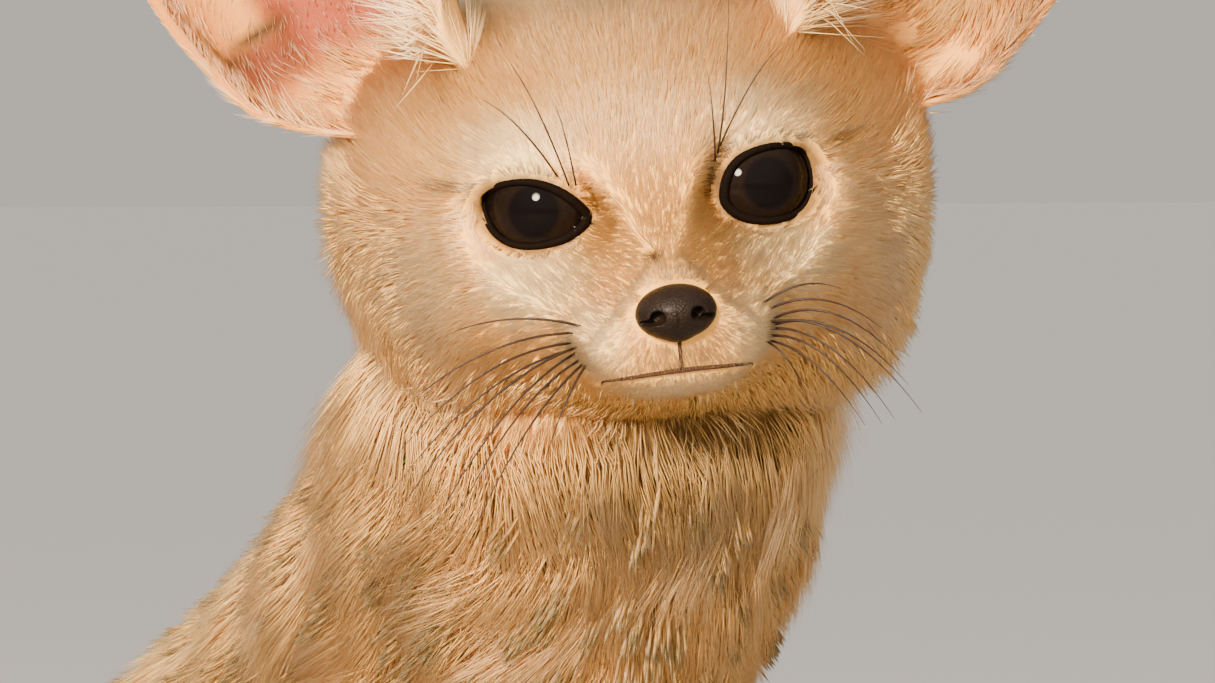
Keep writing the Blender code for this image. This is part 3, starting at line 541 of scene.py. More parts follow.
def smooth_rows(rows: Rows, count: int, placed_by: int = 3) -> np.ndarray:
    """Stations on a smooth curve through the given ones.

    Args:
        rows: The given stations.
        count: How many stations are wanted.
        placed_by: How many of the first columns give a station's place.

    Returns:
        The new stations, evenly spaced.
    """
    rows = np.asarray(rows, float)
    lengths = np.linalg.norm(np.diff(rows[:, :placed_by], axis=0), axis=1)
    at = np.concatenate([[0.0], np.cumsum(lengths)])
    slopes = np.gradient(rows, at, axis=0)
    wanted = np.linspace(0.0, at[-1], count)
    index = np.clip(np.searchsorted(at, wanted, side="right") - 1, 0, len(at) - 2)
    span = (at[index + 1] - at[index])[:, None]
    t = (wanted - at[index])[:, None] / span
    start, end = rows[index], rows[index + 1]
    return (
        (2 * t**3 - 3 * t**2 + 1) * start
        + (t**3 - 2 * t**2 + t) * span * slopes[index]
        + (3 * t**2 - 2 * t**3) * end
        + (t**3 - t**2) * span * slopes[index + 1]
    )


def moved(matrix: Matrix, points: np.ndarray) -> np.ndarray:
    """Points after a matrix."""
    turn = np.array(matrix.to_3x3())
    return points @ turn.T + np.array(matrix.translation)


def turned(matrix: Matrix, vectors: np.ndarray) -> np.ndarray:
    """Directions after a matrix."""
    return vectors @ np.array(matrix.to_3x3()).T


def select_only(*objects: bpy.types.Object) -> None:
    """Selects the objects and makes the first of them active."""
    bpy.ops.object.select_all(action="DESELECT")
    for obj in objects:
        obj.select_set(True)
    bpy.context.view_layer.objects.active = objects[0]


def mesh_object(name: str, points: np.ndarray, faces: list[tuple[int, ...]]) -> bpy.types.Object:
    """A smooth mesh object whose faces point out.

    Args:
        name: The object's name.
        points: Its corners.
        faces: Its faces as indices of corners.

    Returns:
        The object, linked to the scene.
    """
    mesh = bpy.data.meshes.new(name)
    mesh.from_pydata([tuple(p) for p in points], [], faces)
    shape = bmesh.new()
    shape.from_mesh(mesh)
    bmesh.ops.remove_doubles(shape, verts=shape.verts, dist=1e-7)
    bmesh.ops.recalc_face_normals(shape, faces=shape.faces)
    shape.to_mesh(mesh)
    shape.free()
    mesh.shade_smooth()
    return linked(name, mesh)


def linked(name: str, data: bpy.types.ID) -> bpy.types.Object:
    """A new object of the scene with some data."""
    obj = bpy.data.objects.new(name, data)
    bpy.context.scene.collection.objects.link(obj)
    return obj


def bands(first: int, count: int, sides: int) -> list[tuple[int, ...]]:
    """The faces between rings of corners that follow each other.

    Args:
        first: The index of the first ring's first corner.
        count: How many rings there are.
        sides: How many corners a ring has.

    Returns:
        The faces as indices of corners.
    """
    faces = []
    for a in range(first, first + (count - 1) * sides, sides):
        for j in range(sides):
            k = (j + 1) % sides
            faces.append((a + j, a + k, a + sides + k, a + sides + j))
    return faces


def ring_mesh(name: str, rings: np.ndarray, poles: tuple) -> bpy.types.Object:
    """A closed mesh over rings of equal counts, with a pole at each end."""
    count, sides = len(rings), len(rings[0])
    points = [p for ring in rings for p in ring] + list(poles)
    faces = bands(0, count, sides)
    first, last = count * sides, count * sides + 1
    for j in range(sides):
        k = (j + 1) % sides
        faces.append((first, k, j))
        faces.append((last, (count - 1) * sides + j, (count - 1) * sides + k))
    return mesh_object(name, points, faces)


def add_modifier(obj: bpy.types.Object, kind: str, **settings: object) -> None:
    """Adds a modifier to an object and applies it.

    Args:
        obj: The object.
        kind: The modifier's type.
        settings: Its values by name.
    """
    select_only(obj)
    bpy.ops.object.modifier_add(type=kind)
    modifier = obj.modifiers[-1]
    for key, value in settings.items():
        setattr(modifier, key, value)
    bpy.ops.object.modifier_apply(modifier=modifier.name)


def boolean(obj: bpy.types.Object, others: list[bpy.types.Object], operation: str) -> None:
    """Joins or cuts an object with closed others, which are then removed."""
    group = bpy.data.collections.new("cutters")
    bpy.context.scene.collection.children.link(group)
    for other in others:
        for home in list(other.users_collection):
            home.objects.unlink(other)
        group.objects.link(other)
    add_modifier(
        obj, "BOOLEAN", operation=operation, operand_type="COLLECTION", collection=group, solver="MANIFOLD"
    )
    for other in others:
        bpy.data.objects.remove(other)
    bpy.data.collections.remove(group)


def fused(name: str, pieces: list[bpy.types.Object], voxel: float, rounds: int) -> bpy.types.Object:
    """One smooth body of closed pieces that overlap.

    Args:
        name: The body's name.
        pieces: The pieces, which are used up.
        voxel: The fineness of its surface.
        rounds: How many times it is smoothed.

    Returns:
        The body.
    """
    select_only(*pieces)
    bpy.ops.object.join()
    body = bpy.context.active_object
    body.name = name
    add_modifier(body, "REMESH", mode="VOXEL", voxel_size=voxel)
    add_modifier(body, "SMOOTH", factor=0.5, iterations=rounds)
    return body


def ball(name: str, centre: Vector, half_size: tuple, segments: int, rings: int) -> bpy.types.Object:
    """An ellipsoid with its place in its mesh."""
    bpy.ops.object.select_all(action="DESELECT")
    bpy.ops.mesh.primitive_uv_sphere_add(segments=segments, ring_count=rings, radius=1.0)
    obj = bpy.context.active_object
    obj.name = name
    obj.data.transform(Matrix.Translation(centre) @ Matrix.Diagonal((*half_size, 1.0)))
    obj.data.shade_smooth()
    return obj


def lines_mesh(
    name: str, lines: list[np.ndarray], radii: list[np.ndarray], sides: int,
    guide: np.ndarray = np.array((0.31, 0.22, 0.93)),
) -> bpy.types.Object:
    """Closed tubes along lines of points, as one mesh.

    Args:
        name: The mesh's name.
        lines: The points of each tube.
        radii: The radius of each tube at its points.
        sides: How many sides a tube has.
        guide: A direction that no tube runs along.

    Returns:
        The object.
    """
    points, faces = [], []
    for line, radius in zip(lines, radii):
        along = unit(np.gradient(line, axis=0))
        side = unit(np.cross(along, guide))
        deep = np.cross(along, side)
        first = len(points)
        for i, centre in enumerate(line):
            for j in range(sides):
                turn = 2 * math.pi * j / sides
                points.append(centre + radius[i] * (math.cos(turn) * side[i] + math.sin(turn) * deep[i]))
        faces += bands(first, len(line), sides)
        faces.append(tuple(first + j for j in reversed(range(sides))))
        faces.append(tuple(first + (len(line) - 1) * sides + j for j in range(sides)))
    return mesh_object(name, points, faces)


class LimbLine:
    """A limb as a line of oval sections, which tells how far points are from its skin."""

    def __init__(self, limb: Limb) -> None:
        """Reads the limb's stations.

        Args:
            limb: The limb.
        """
        self.limb = limb
        self.rows = smooth_rows(limb.rows, limb.count)
        self.centres = self.rows[:, :3]
        self.along = unit(np.gradient(self.centres, axis=0))
        axis = np.asarray(limb.side_axis)
        self.side = unit(axis - self.along * (self.along @ axis)[:, None])
        self.deep = np.cross(self.along, self.side)
        depth = limb.depth * (1.0 - NECK_FILL * smooth_step(0.165, 0.200, self.rows[:, 2:3]))
        if limb.region is Region.LEG:
            depth = depth * (1.0 - WRIST_FILL * smooth_step(0.075, 0.035, self.rows[:, 2:3]))
        self.halves = self.rows[:, 3:] * TAIL_CORE_SHARE if limb is TAIL else self.rows[:, 3:] - depth

    def skin(self, name: str, sides: int) -> bpy.types.Object:
        """The limb's own skin, closed, in the body's frame."""
        last = int(TAIL_CORE_END * self.limb.count) if self.limb is TAIL else self.limb.count
        angles = np.arange(sides) * 2 * math.pi / sides
        rings = (
            self.centres[:last, None, :]
            + self.halves[:last, :1, None] * np.cos(angles)[None, :, None] * self.side[:last, None, :]
            + self.halves[:last, 1:, None] * np.sin(angles)[None, :, None] * self.deep[:last, None, :]
        )
        reach = 0.5 * self.halves.min(axis=1)
        poles = (
            self.centres[0] - self.along[0] * reach[0],
            self.centres[last - 1] + self.along[last - 1] * reach[last - 1],
        )
        return ring_mesh(name, rings, poles)

    def measure(self, points: np.ndarray) -> tuple[np.ndarray, np.ndarray]:
        """How far points lie off the limb's skin, and the nearest station of each.

        Args:
            points: Points in the body's frame.

        Returns:
            The distances in metres, and the indices of the stations.
        """
        index = np.empty(len(points), int)
        for start in range(0, len(points), MEASURED_AT_ONCE):
            few = slice(start, start + MEASURED_AT_ONCE)
            part = points[few, None, :] - self.centres[None]
            index[few] = np.argmin(np.einsum("nkc,nkc->nk", part, part), axis=1)
        off = points - self.centres[index]
        a = dot(off, self.side[index]) / self.halves[index, 0]
        b = dot(off, self.deep[index]) / self.halves[index, 1]
        distance = np.abs(np.hypot(a, b) - 1.0) * self.halves[index].mean(axis=1)
        beyond = np.abs(dot(off, self.along[index])) - STATION_REACH
        return distance + np.maximum(beyond, 0.0), index


@dataclass
class Places:
    """Points of the skin with all that the coat needs to know of them."""

    points: np.ndarray
    normals: np.ndarray
    head: np.ndarray
    region: np.ndarray
    length: np.ndarray
    height: np.ndarray
    lie: np.ndarray
    share: np.ndarray
    ear_height: np.ndarray
    ear_turn: np.ndarray
    marks: np.ndarray = field(default_factory=lambda: np.zeros((0, 4)))


@dataclass(frozen=True)
class Patch:
    """A soft-edged marking or painted shadow on the head: its middle, half sizes, strength, and whether it is
    mirrored.
    """

    centre: tuple[float, float, float]
    half_size: tuple[float, float, float]
    strength: float
    mirrored: bool = True


PALE_PATCHES = (
    Patch((0.0190, -0.0300, 0.0125), (0.0110, 0.0100, 0.0055), 0.85),
    Patch((0.0190, -0.0380, -0.0070), (0.0105, 0.0100, 0.0062), 1.00),
    Patch((0.0110, -0.0500, -0.0140), (0.0065, 0.0090, 0.0070), 0.90),
    Patch((0.0320, -0.0220, -0.0060), (0.0100, 0.0120, 0.0100), 0.50),
    Patch((0.0000, -0.0480, -0.0230), (0.0120, 0.0110, 0.0030), 0.85, False),
    Patch((0.0000, -0.0330, 0.0140), (0.0090, 0.0080, 0.0080), 0.40, False),
    Patch((0.0260, -0.0080, 0.0290), (0.0080, 0.0100, 0.0060), 0.55),
)
# Painted shadow that the chin casts on the throat and the top of the neck, in the coat's dark colour.
CHIN_SHADOW_PATCHES = (
    Patch((0.0010, -0.0280, -0.0310), (0.0200, 0.0200, 0.0050), 0.46, False),
    Patch((0.0030, -0.0160, -0.0370), (0.0190, 0.0240, 0.0080), 0.40, False),
)
RUST_PATCHES = (
    Patch((0.0102, -0.0385, 0.0045), (0.0036, 0.0080, 0.0090), 0.55, False),
    Patch((0.0086, -0.0410, 0.0015), (0.0024, 0.0060, 0.0045), 0.70),
    Patch((0.0092, -0.0490, -0.0060), (0.0026, 0.0060, 0.0058), 0.62),
    Patch((0.0012, -0.0550, -0.0045), (0.0050, 0.0060, 0.0038), 0.25, False),
)
DARK_PATCHES = (
    Patch((0.0098, -0.0370, 0.0060), (0.0021, 0.0080, 0.0066), 0.95, False),
    Patch((-0.0092, -0.0375, 0.0020), (0.0018, 0.0060, 0.0022), 0.70, False),
    Patch((0.0095, -0.0400, 0.0000), (0.0016, 0.0060, 0.0030), 0.60, False),
    Patch((0.0275, -0.0245, 0.0076), (0.0036, 0.0040, 0.0011), 0.75),
    Patch((0.0022, -0.0570, -0.0058), (0.0052, 0.0050, 0.0032), 0.42, False),
    Patch((0.0150, -0.0465, -0.0160), (0.0032, 0.0045, 0.0024), 0.50),
    Patch((0.0155, -0.0460, -0.0120), (0.0030, 0.0045, 0.0014), 0.35),
    Patch((-0.0017, -0.0530, -0.0033), (0.0011, 0.0040, 0.0013), 1.00, False),
    Patch((0.0240, -0.0060, 0.0300), (0.0060, 0.0100, 0.0016), 0.40),
    Patch((0.0300, -0.0120, 0.0245), (0.0050, 0.0080, 0.0013), 0.38),
)


def patch_mask(points: np.ndarray, patches: tuple[Patch, ...]) -> np.ndarray:
    """How strongly each point of the head is marked by the strongest of some patches."""
    mask = np.zeros(len(points))
    for patch in patches:
        for sign in (1.0, -1.0) if patch.mirrored else (1.0,):
            centre = np.array(patch.centre) * (sign, 1.0, 1.0)
            far = np.linalg.norm((points - centre) / np.array(patch.half_size), axis=1)
            mask = np.maximum(mask, patch.strength * smooth_step(1.35, 0.45, far))
    return mask


class Anatomy:
    """Tells for any point of the skin which part it belongs to, how its coat grows, and its markings and
    painted shade.
    """

    BORDER_BLUR = 0.0014
    NECK_FROM = 0.66
    THICK_RUFF = 0.0028
    THIN_RUFF = 0.0068
    FAN = 1.05
    FAN_REACH = 0.024
    EAR_FOOT = 0.018
    THIGH_WAY = (0.0, 0.35, -1.0)
    TRUNK_DROOP = (0.0, 0.0, -0.35)
    BRUSH_SHARE = 0.95
    BRUSH_RADIUS = 0.026
    BRUSH_LEAST = 0.016
    THICK_SIDE = np.array((-0.82, 0.57, 0.0))
    CHEEK_PALE = 0.40
    TRUNK_PALE = 0.30
    BELLY_PALE = 0.9
    FOOT_PALE = 0.75
    BACK_RUST = 0.12
    BIB_RUST = 0.24
    EAR_RIM_PINK = 0.42
    EAR_STREAKS = 0.60
    LID_DARK = 0.85
    TAIL_BLEND = 0.10

    def __init__(self) -> None:
        """Prepares the lines of the limbs and the frames of head and ears."""
        self.lines = [LimbLine(limb) for limb in LIMBS]
        self.pose = HEAD.pose()
        self.head_rows = smooth_rows(HEAD.sections, 60, 1)
        self.luck = np.random.default_rng(BORDER_SEED)
        self.wave_ways = unit(self.luck.normal(size=(2, len(WAVE_LENGTHS), 3)))
        self.wave_starts = self.luck.uniform(0.0, 2 * math.pi, (2, len(WAVE_LENGTHS)))

    def waves(self, points: np.ndarray) -> np.ndarray:
        """Two slow swings between -1 and 1 over the body, which gather the coat into wavy locks."""
        phase = np.einsum("nc,fwc->nfw", points, self.wave_ways) * (2 * math.pi / np.array(WAVE_LENGTHS))
        return np.sin(phase + self.wave_starts).mean(axis=2) * 1.5

    def head_distance(self, head: np.ndarray) -> np.ndarray:
        """How far points in the head's frame lie off the head's skin."""
        x, y, z = head.T
        rows = self.head_rows
        half, crown, jaw, widest = (np.interp(y, rows[:, 0], rows[:, i]) for i in (1, 2, 3, 4))
        height = np.where(z > widest, crown - widest, widest - jaw)
        ratio = np.hypot(x / half, (z - widest) / height)
        beyond = np.maximum(y - 0.036, 0.0) + np.maximum(-0.060 - y, 0.0)
        return np.abs((ratio - 1.0) * half + HEAD.coat_depth(head)) + beyond

    def ear_way(self, side: Side, way: tuple[float, float, float]) -> np.ndarray:
        """A direction of an ear's own frame, in the world."""
        return np.array(self.pose.to_3x3() @ EARS.seat(side).to_3x3() @ Vector(way))

    def ear_place(self, head: np.ndarray, side: Side) -> tuple[np.ndarray, ...]:
        """Where points in the head's frame lie on an ear.

        Args:
            head: The points.
            side: Which ear.

        Returns:
            Whether each is on the ear, whether on its back, its share of the height, its turn.
        """
        local = moved(EARS.seat(side).inverted(), head)
        rows = EARS.rows()
        half, arc, inward = (np.interp(local[:, 2], rows[:, 0], rows[:, i]) for i in (1, 2, 3))
        radius = half / np.sin(np.minimum(arc, math.pi / 2))
        x = local[:, 0] + side.value * inward
        y = local[:, 1] - EARS.back_share * half + radius
        reach = np.hypot(x, y)
        turn = np.arctan2(x, y) / arc
        inside = radius - reach
        on = (inside > -0.001) & (inside < 0.0045) & (np.abs(turn) < 1.12)
        on &= (local[:, 2] > -0.012) & (local[:, 2] < EARS.length * 1.02)
        return on, inside < 0.0012, local[:, 2] / EARS.length, turn * side.value

    def place(self, points: np.ndarray, normals: np.ndarray) -> Places:
        """All that the coat needs to know of points of the skin.

        Args:
            points: The points.
            normals: The skin's normals there.

        Returns:
            Their places.
        """
        body = points - np.array(BODY_SHIFT)
        head = moved(self.pose.inverted(), points)
        count = len(points)
        nearest = self.head_distance(head)
        region = np.full(count, Region.FACE.value)
        length = HEAD.coat_length(head)
        height = HEAD.coat_height(head)
        share = np.zeros(count)
        lie = turned(self.pose, self.head_lie(head))
        cheek = smooth_step(-0.020, 0.010, head[:, 1]) * smooth_step(0.020, -0.005, head[:, 2])
        sidewards = normals @ self.THICK_SIDE
        height += cheek * np.where(sidewards > 0.0, self.THICK_RUFF, self.THIN_RUFF) * sidewards
        on_head = np.ones(count, bool)
        for line in self.lines:
            distance, index = line.measure(body)
            closer = distance < nearest
            nearest = np.where(closer, distance, nearest)
            on_head &= ~closer
            region[closer] = line.limb.region.value
            share[closer] = index[closer] / line.limb.count
            lie[closer] = self.limb_way(line, index, body)[closer]
            at = body[closer], np.maximum(sidewards, 0.0)[closer]
            length[closer], height[closer] = self.limb_growth(line, index[closer], *at)
        blurred = head + self.luck.normal(scale=self.BORDER_BLUR, size=head.shape)
        region[on_head & (blurred[:, 1] < -0.040)] = Region.MUZZLE.value
        region[on_head & (blurred[:, 1] > -0.014)] = Region.CROWN.value
        throat = (blurred[:, 2] < -0.020) & (blurred[:, 1] > -0.040)
        cheek = (blurred[:, 1] > -0.022) & (blurred[:, 2] < 0.002 + 0.4 * (blurred[:, 1] + 0.022))
        region[on_head & (cheek | throat)] = Region.RUFF.value
        neck = (region == Region.TRUNK.value) & (share + 10.0 * (blurred - head)[:, 0] > self.NECK_FROM)
        region[neck & ~on_head] = Region.NECK.value
        ear_height, ear_turn = np.zeros(count), np.zeros(count)
        for side in Side:
            on, back, tall, turn = self.ear_place(head, side)
            on &= (tall > 0.02) | (self.head_distance(head) > 0.003)
            self.grow_to_ear(side, on_head & ~on, head, lie, length, height)
            region[on] = np.where(back, Region.EAR_BACK.value, Region.EAR_FRONT.value)[on]
            ear_height[on], ear_turn[on] = tall[on], turn[on]
            up = self.ear_way(side, (0, 0, 1))
            across = self.ear_way(side, (side.value, 0, 0))
            front = on & ~back
            lie[on & back] = up
            self.dress_ear(front, tall, EARS.bare_height(head, tall), turn, up, across, lie, length, height)
            low = smooth_step(0.22, 0.06, tall)
            flap = smooth_step(-0.50, -0.80, turn) * smooth_step(0.60, 0.30, tall)
            lie[on & back] += (across[None] * (1.2 * flap)[:, None])[on & back]
            length[on & back] = (0.0028 + 0.0040 * low + 0.0090 * flap)[on & back]
            height[on & back] = (0.0006 + 0.0022 * flap)[on & back]
        lie = laid_flat(lie, normals)
        places = Places(points, normals, head, region, length, height, lie, share, ear_height, ear_turn)
        places.marks = self.marks(places)
        self.clear_face(places)
        return places

    def limb_way(self, line: LimbLine, index: np.ndarray, body: np.ndarray) -> np.ndarray:
        """Which way the coat lies on a limb.

        Args:
            line: The limb.
            index: Its nearest station for each point.
            body: The points in the body's frame.

        Returns:
            A direction for each point.
        """
        if line.limb in (THIGH, THIGH.mirrored()):
            return np.tile(self.THIGH_WAY, (len(body), 1))
        way = -line.along[index] if line.limb.backwards else line.along[index]
        if line.limb is TRUNK:
            fan = np.clip(body[:, :1] / self.FAN_REACH, -1.0, 1.0)
            fan = fan * smooth_step(0.100, 0.150, body[:, 2:])
            fan = fan * smooth_step(0.180, 0.155, body[:, 2:])
            way = way + np.array(self.TRUNK_DROOP) + fan * np.array(((self.FAN, 0.0, 0.0),))
        return way

    def limb_growth(
        self, line: LimbLine, index: np.ndarray, body: np.ndarray, thick: np.ndarray
    ) -> tuple[np.ndarray, np.ndarray]:
        """How long and how high the coat is on a limb.

        Args:
            line: The limb.
            index: Its nearest station for each point.
            body: The points in the body's frame.
            thick: How far each point faces the side where the ruff is thick.

        Returns:
            A length and a height in metres for each point.
        """
        length = np.full(len(body), line.limb.length)
        height = np.full(len(body), line.limb.height)
        if line.limb is TRUNK:
            high = smooth_step(0.125, 0.170, line.rows[index, 2])
            top = smooth_step(0.172, 0.196, body[:, 2])
            length += high * (0.0030 + 0.0040 * thick)
            height += high * (0.0006 + 0.0008 * thick) + 0.0012 * top * thick
        if line.limb.region is Region.LEG:
            upper = smooth_step(0.085, 0.125, body[:, 2])
            wrist = smooth_step(0.060, 0.028, body[:, 2])
            length = length + 0.0080 * upper - 0.0015 * wrist
            height = height + 0.0016 * upper - 0.0012 * wrist
        if line.limb is TAIL:
            outer = line.rows[index, 3:].mean(axis=1)
            height = outer * (1.0 - TAIL_CORE_SHARE) * self.BRUSH_SHARE
            length = np.maximum(line.limb.length * outer / self.BRUSH_RADIUS, self.BRUSH_LEAST)
        return length, height

    def grow_to_ear(
        self, side: Side, where: np.ndarray, head: np.ndarray, lie: np.ndarray, length: np.ndarray,
        height: np.ndarray,
    ) -> None:
        """Turns the head's coat up towards an ear where it meets it, so that no edge shows.

        Args:
            side: Which ear.
            where: Which places are on the head.
            head: The places in the head's frame.
            lie: The way the coat lies, changed in place.
            length: The coat's length, changed in place.
            height: The coat's height, changed in place.
        """
        local = moved(EARS.seat(side).inverted(), head)
        reach = np.abs(np.hypot(local[:, 0], local[:, 1]) - self.EAR_FOOT)
        near = smooth_step(0.011, 0.003, reach) * smooth_step(0.024, 0.010, local[:, 2])
        near = near * smooth_step(-0.020, -0.008, local[:, 2])
        near = near * smooth_step(0.008, -0.004, head[:, 1]) * where
        lie += self.ear_way(side, (0, 0, 1)) * (1.3 * near)[:, None]
        length += 0.0050 * near
        height += 0.0016 * near

    def dress_ear(
        self, front: np.ndarray, tall: np.ndarray, bare_tall: np.ndarray, turn: np.ndarray, up: np.ndarray,
        across: np.ndarray, lie: np.ndarray, length: np.ndarray, height: np.ndarray,
    ) -> None:
        """Sets how the coat grows inside an ear.

        Args:
            front: Which places are inside the ear.
            tall: Their share of the ear's height.
            bare_tall: The same, lowered by where the bare part starts.
            turn: Where round the cup they are.
            up: The way to the ear's tip.
            across: The way to its outer edge.
            lie: The way the coat lies, changed in place.
            length: The coat's length, changed in place.
            height: The coat's height, changed in place.
        """
        inner = smooth_step(-0.10, -0.70, turn)
        outer = smooth_step(0.55, 0.95, turn)
        low = smooth_step(0.10, 0.02, tall)
        bare = bare_ear(turn, bare_tall)
        rising = smooth_step(0.08, 0.45, tall)
        sweep = inner * (1.0 - 0.6 * rising) - 0.6 * outer + 0.5 * low
        lift = 0.35 + 0.65 * np.maximum(rising, outer)
        lie[front] = (up * lift[:, None] + across * sweep[:, None])[front]
        fringe = inner * smooth_step(0.85, 0.35, tall)
        furred = smooth_step(0.10, -0.02, bare_tall)
        woolly = np.maximum(low, furred)
        length[front] = (0.0030 + 0.0020 * outer + 0.0150 * fringe + 0.0060 * woolly)[front]
        height[front] = (0.0007 + 0.0003 * outer + 0.0030 * fringe + 0.0016 * woolly)[front]
        bald = np.maximum(0.80 * bare, 1.4 * ear_fold_shade(turn, bare_tall) - 0.2)
        length[front & (self.luck.random(len(bare)) < bald)] = 0.0

    def head_lie(self, head: np.ndarray) -> np.ndarray:
        """Which way the coat lies at points of the head, in its own frame."""
        x, y, z = head.T
        sign = np.sign(x) * smooth_step(0.0, 0.010, np.abs(x))
        cheek = smooth_step(-0.040, 0.000, y) * smooth_step(0.010, -0.012, z)
        brow = smooth_step(-0.045, -0.020, y) * smooth_step(0.002, 0.016, z)
        nape = smooth_step(-0.004, 0.028, y)
        return np.stack(
            [
                0.22 * sign + 0.25 * sign * cheek,
                1.0 - 0.55 * cheek - 0.40 * nape * (1.0 - cheek),
                -0.12 - 1.05 * cheek + 0.35 * brow - 0.95 * nape * (1.0 - cheek),
            ],
            axis=1,
        )

    def clear_face(self, places: Places) -> None:
        """Keeps the coat off the lids, nose and lips, short round them and turned away from the eyes."""
        head = places.head
        for side in Side:
            edge, deep, flat = EYES.round_eye(head, side)
            near = smooth_step(0.0070, 0.0008, edge)
            places.length *= 1.0 - 0.42 * near
            places.height *= 1.0 - 0.50 * near
            away = turned(self.pose, unit(flat))
            places.lie = laid_flat(places.lie + away * (0.9 * near)[:, None], places.normals)
            places.length[(edge < EYES.rim_radius) | (deep < EYES.radius + 0.0004)] = 0.0
        in_nose = np.linalg.norm((head - NOSE.centre) / np.array(NOSE.half_size), axis=1) < 0.98
        lips = np.abs(head[:, 2] - LIPS.height(LIPS.place(head)))
        at_lips = (np.abs(LIPS.place(head)) < 1.0) & (head[:, 1] < LIPS.pivot_y)
        places.length *= np.where(at_lips, 0.70 + 0.30 * smooth_step(0.0, 0.003, lips), 1.0)
        places.height *= np.where(at_lips, 0.45 + 0.55 * smooth_step(0.0, 0.003, lips), 1.0)
        places.length[in_nose | (at_lips & (lips < LIPS.half_gap))] = 0.0

    def marks(self, places: Places) -> np.ndarray:
        """How pale, rusty, dark and pink the coat is at each place; the darkness holds painted shadow under
        the chin and painted shade in the ears' folds as well as markings.
        """
        head, region = places.head, places.region
        on_head = np.isin(region, [r.value for r in (Region.MUZZLE, Region.FACE, Region.CROWN, Region.RUFF)])
        _, y, z = head.T
        cheek = self.CHEEK_PALE * smooth_step(0.008, -0.014, z) * smooth_step(-0.035, -0.005, y)
        pale = np.maximum(patch_mask(head, PALE_PATCHES), cheek) * on_head
        rust = patch_mask(head, RUST_PATCHES) * on_head
        dark = patch_mask(head, DARK_PATCHES) * on_head
        pink = np.zeros(len(head))
        body = places.points - np.array(BODY_SHIFT)
        rising = places.normals[:, 2]
        trunk = np.isin(region, [Region.TRUNK.value, Region.NECK.value])
        belly = self.BELLY_PALE * smooth_step(0.0, -0.8, rising) * smooth_step(0.14, 0.08, body[:, 2])
        pale = np.where(trunk, np.maximum(belly, self.TRUNK_PALE), pale)
        back = smooth_step(0.2, 0.9, rising) * smooth_step(-0.06, 0.02, body[:, 1])
        bib = self.BIB_RUST * smooth_step(0.090, 0.160, body[:, 2]) * smooth_step(0.03, -0.03, body[:, 1])
        rust = np.where(trunk, np.maximum(self.BACK_RUST * back, bib), rust)
        # Painted shadow under the chin, on the head's coat and the neck's.
        throat = patch_mask(head, CHIN_SHADOW_PATCHES)
        dark = np.where(trunk | on_head, np.maximum(dark, throat), dark)
        legs = region == Region.LEG.value
        pale = np.where(legs, self.FOOT_PALE * smooth_step(0.115, 0.070, body[:, 2]), pale)
        pale = np.where(region == Region.PAW.value, self.FOOT_PALE, pale)
        tail_tip = smooth_step(TAIL_DARK_FROM, TAIL_DARK_FROM + self.TAIL_BLEND, places.share)
        dark = np.where(region == Region.TAIL.value, tail_tip, dark)
        front = region == Region.EAR_FRONT.value
        turn, tall = places.ear_turn, places.ear_height
        bare_tall = EARS.bare_height(head, tall)
        rise = smooth_step(0.13, 0.15, bare_tall) * smooth_step(0.42, 0.30, bare_tall)
        rise = smooth_step(0.45, 0.62, turn) * rise
        pink = np.where(front, bare_ear(turn, bare_tall) * (1.0 - 0.70 * rise), pink)
        furred = smooth_step(0.10, -0.02, bare_tall)
        rim = self.EAR_RIM_PINK * smooth_step(0.78, 0.95, turn)
        pink = np.where(front, np.maximum(pink * (1.0 - furred), rim), pink)
        pale = np.where(front, 0.60 * smooth_step(0.30, -0.40, turn) + 0.15 * furred, pale)
        rust = np.where(front, 0.12 + 0.83 * smooth_step(0.55, 0.85, turn) * (1.0 - 0.6 * furred), rust)
        # Painted shade in the ear's fold and the pocket under it, with a dark line low by the rim.
        dark = np.where(front, ear_fold_shade(turn, bare_tall), dark)
        ear_back = region == Region.EAR_BACK.value
        flap = smooth_step(-0.60, -0.85, turn)
        rust = np.where(ear_back, 0.30 * (1.0 - flap) + 0.60 * smooth_step(0.50, 0.90, turn), rust)
        pale = np.where(ear_back, 0.40 * flap, pale)
        streaks = smooth_step(-0.10, 0.60, self.waves(places.points)[:, 0]) * smooth_step(-0.20, -0.70, turn)
        streaks = self.EAR_STREAKS * streaks * smooth_step(0.36, 0.12, tall)
        dark = np.where(front | ear_back, np.maximum(dark, streaks), dark)
        for side in Side:
            lid = EYES.round_eye(head, side)[0]
            dark = np.maximum(dark, self.LID_DARK * smooth_step(0.0024, 0.0006, lid) * on_head)
        return np.stack([pale, rust, dark, pink], axis=1)


def bare_ear(turn: np.ndarray, tall: np.ndarray) -> np.ndarray:
    """How bare and pink the inside of an ear is, from its place round the cup and up it."""
    return (
        smooth_step(-0.50, -0.15, turn)
        * smooth_step(0.90, 0.80, turn)
        * smooth_step(0.02, 0.07, tall + 0.05 * turn)
        * smooth_step(0.99, 0.90, tall)
    )


def ear_fold_shade(turn: np.ndarray, tall: np.ndarray) -> np.ndarray:
    """How dark the fold low in an ear is, and the pocket under it: painted shade in the fold and under it,
    with a dark line low by the outer rim.
    """
    line = 0.138 + 0.018 * smooth_step(0.90, 0.40, turn)
    inside = smooth_step(0.30, 0.50, turn) * smooth_step(0.93, 0.86, turn)
    fold = inside * np.exp(-(((tall - line) / 0.012) ** 2))
    rim = 0.85 * np.exp(-(((turn - 0.87) / 0.035) ** 2))
    rim = rim * smooth_step(0.05, 0.08, tall) * smooth_step(0.23, 0.16, tall)
    pocket = 0.42 * inside * smooth_step(line, line - 0.012, tall) * smooth_step(0.05, 0.09, tall)
    return np.maximum(np.maximum(fold, rim), pocket)


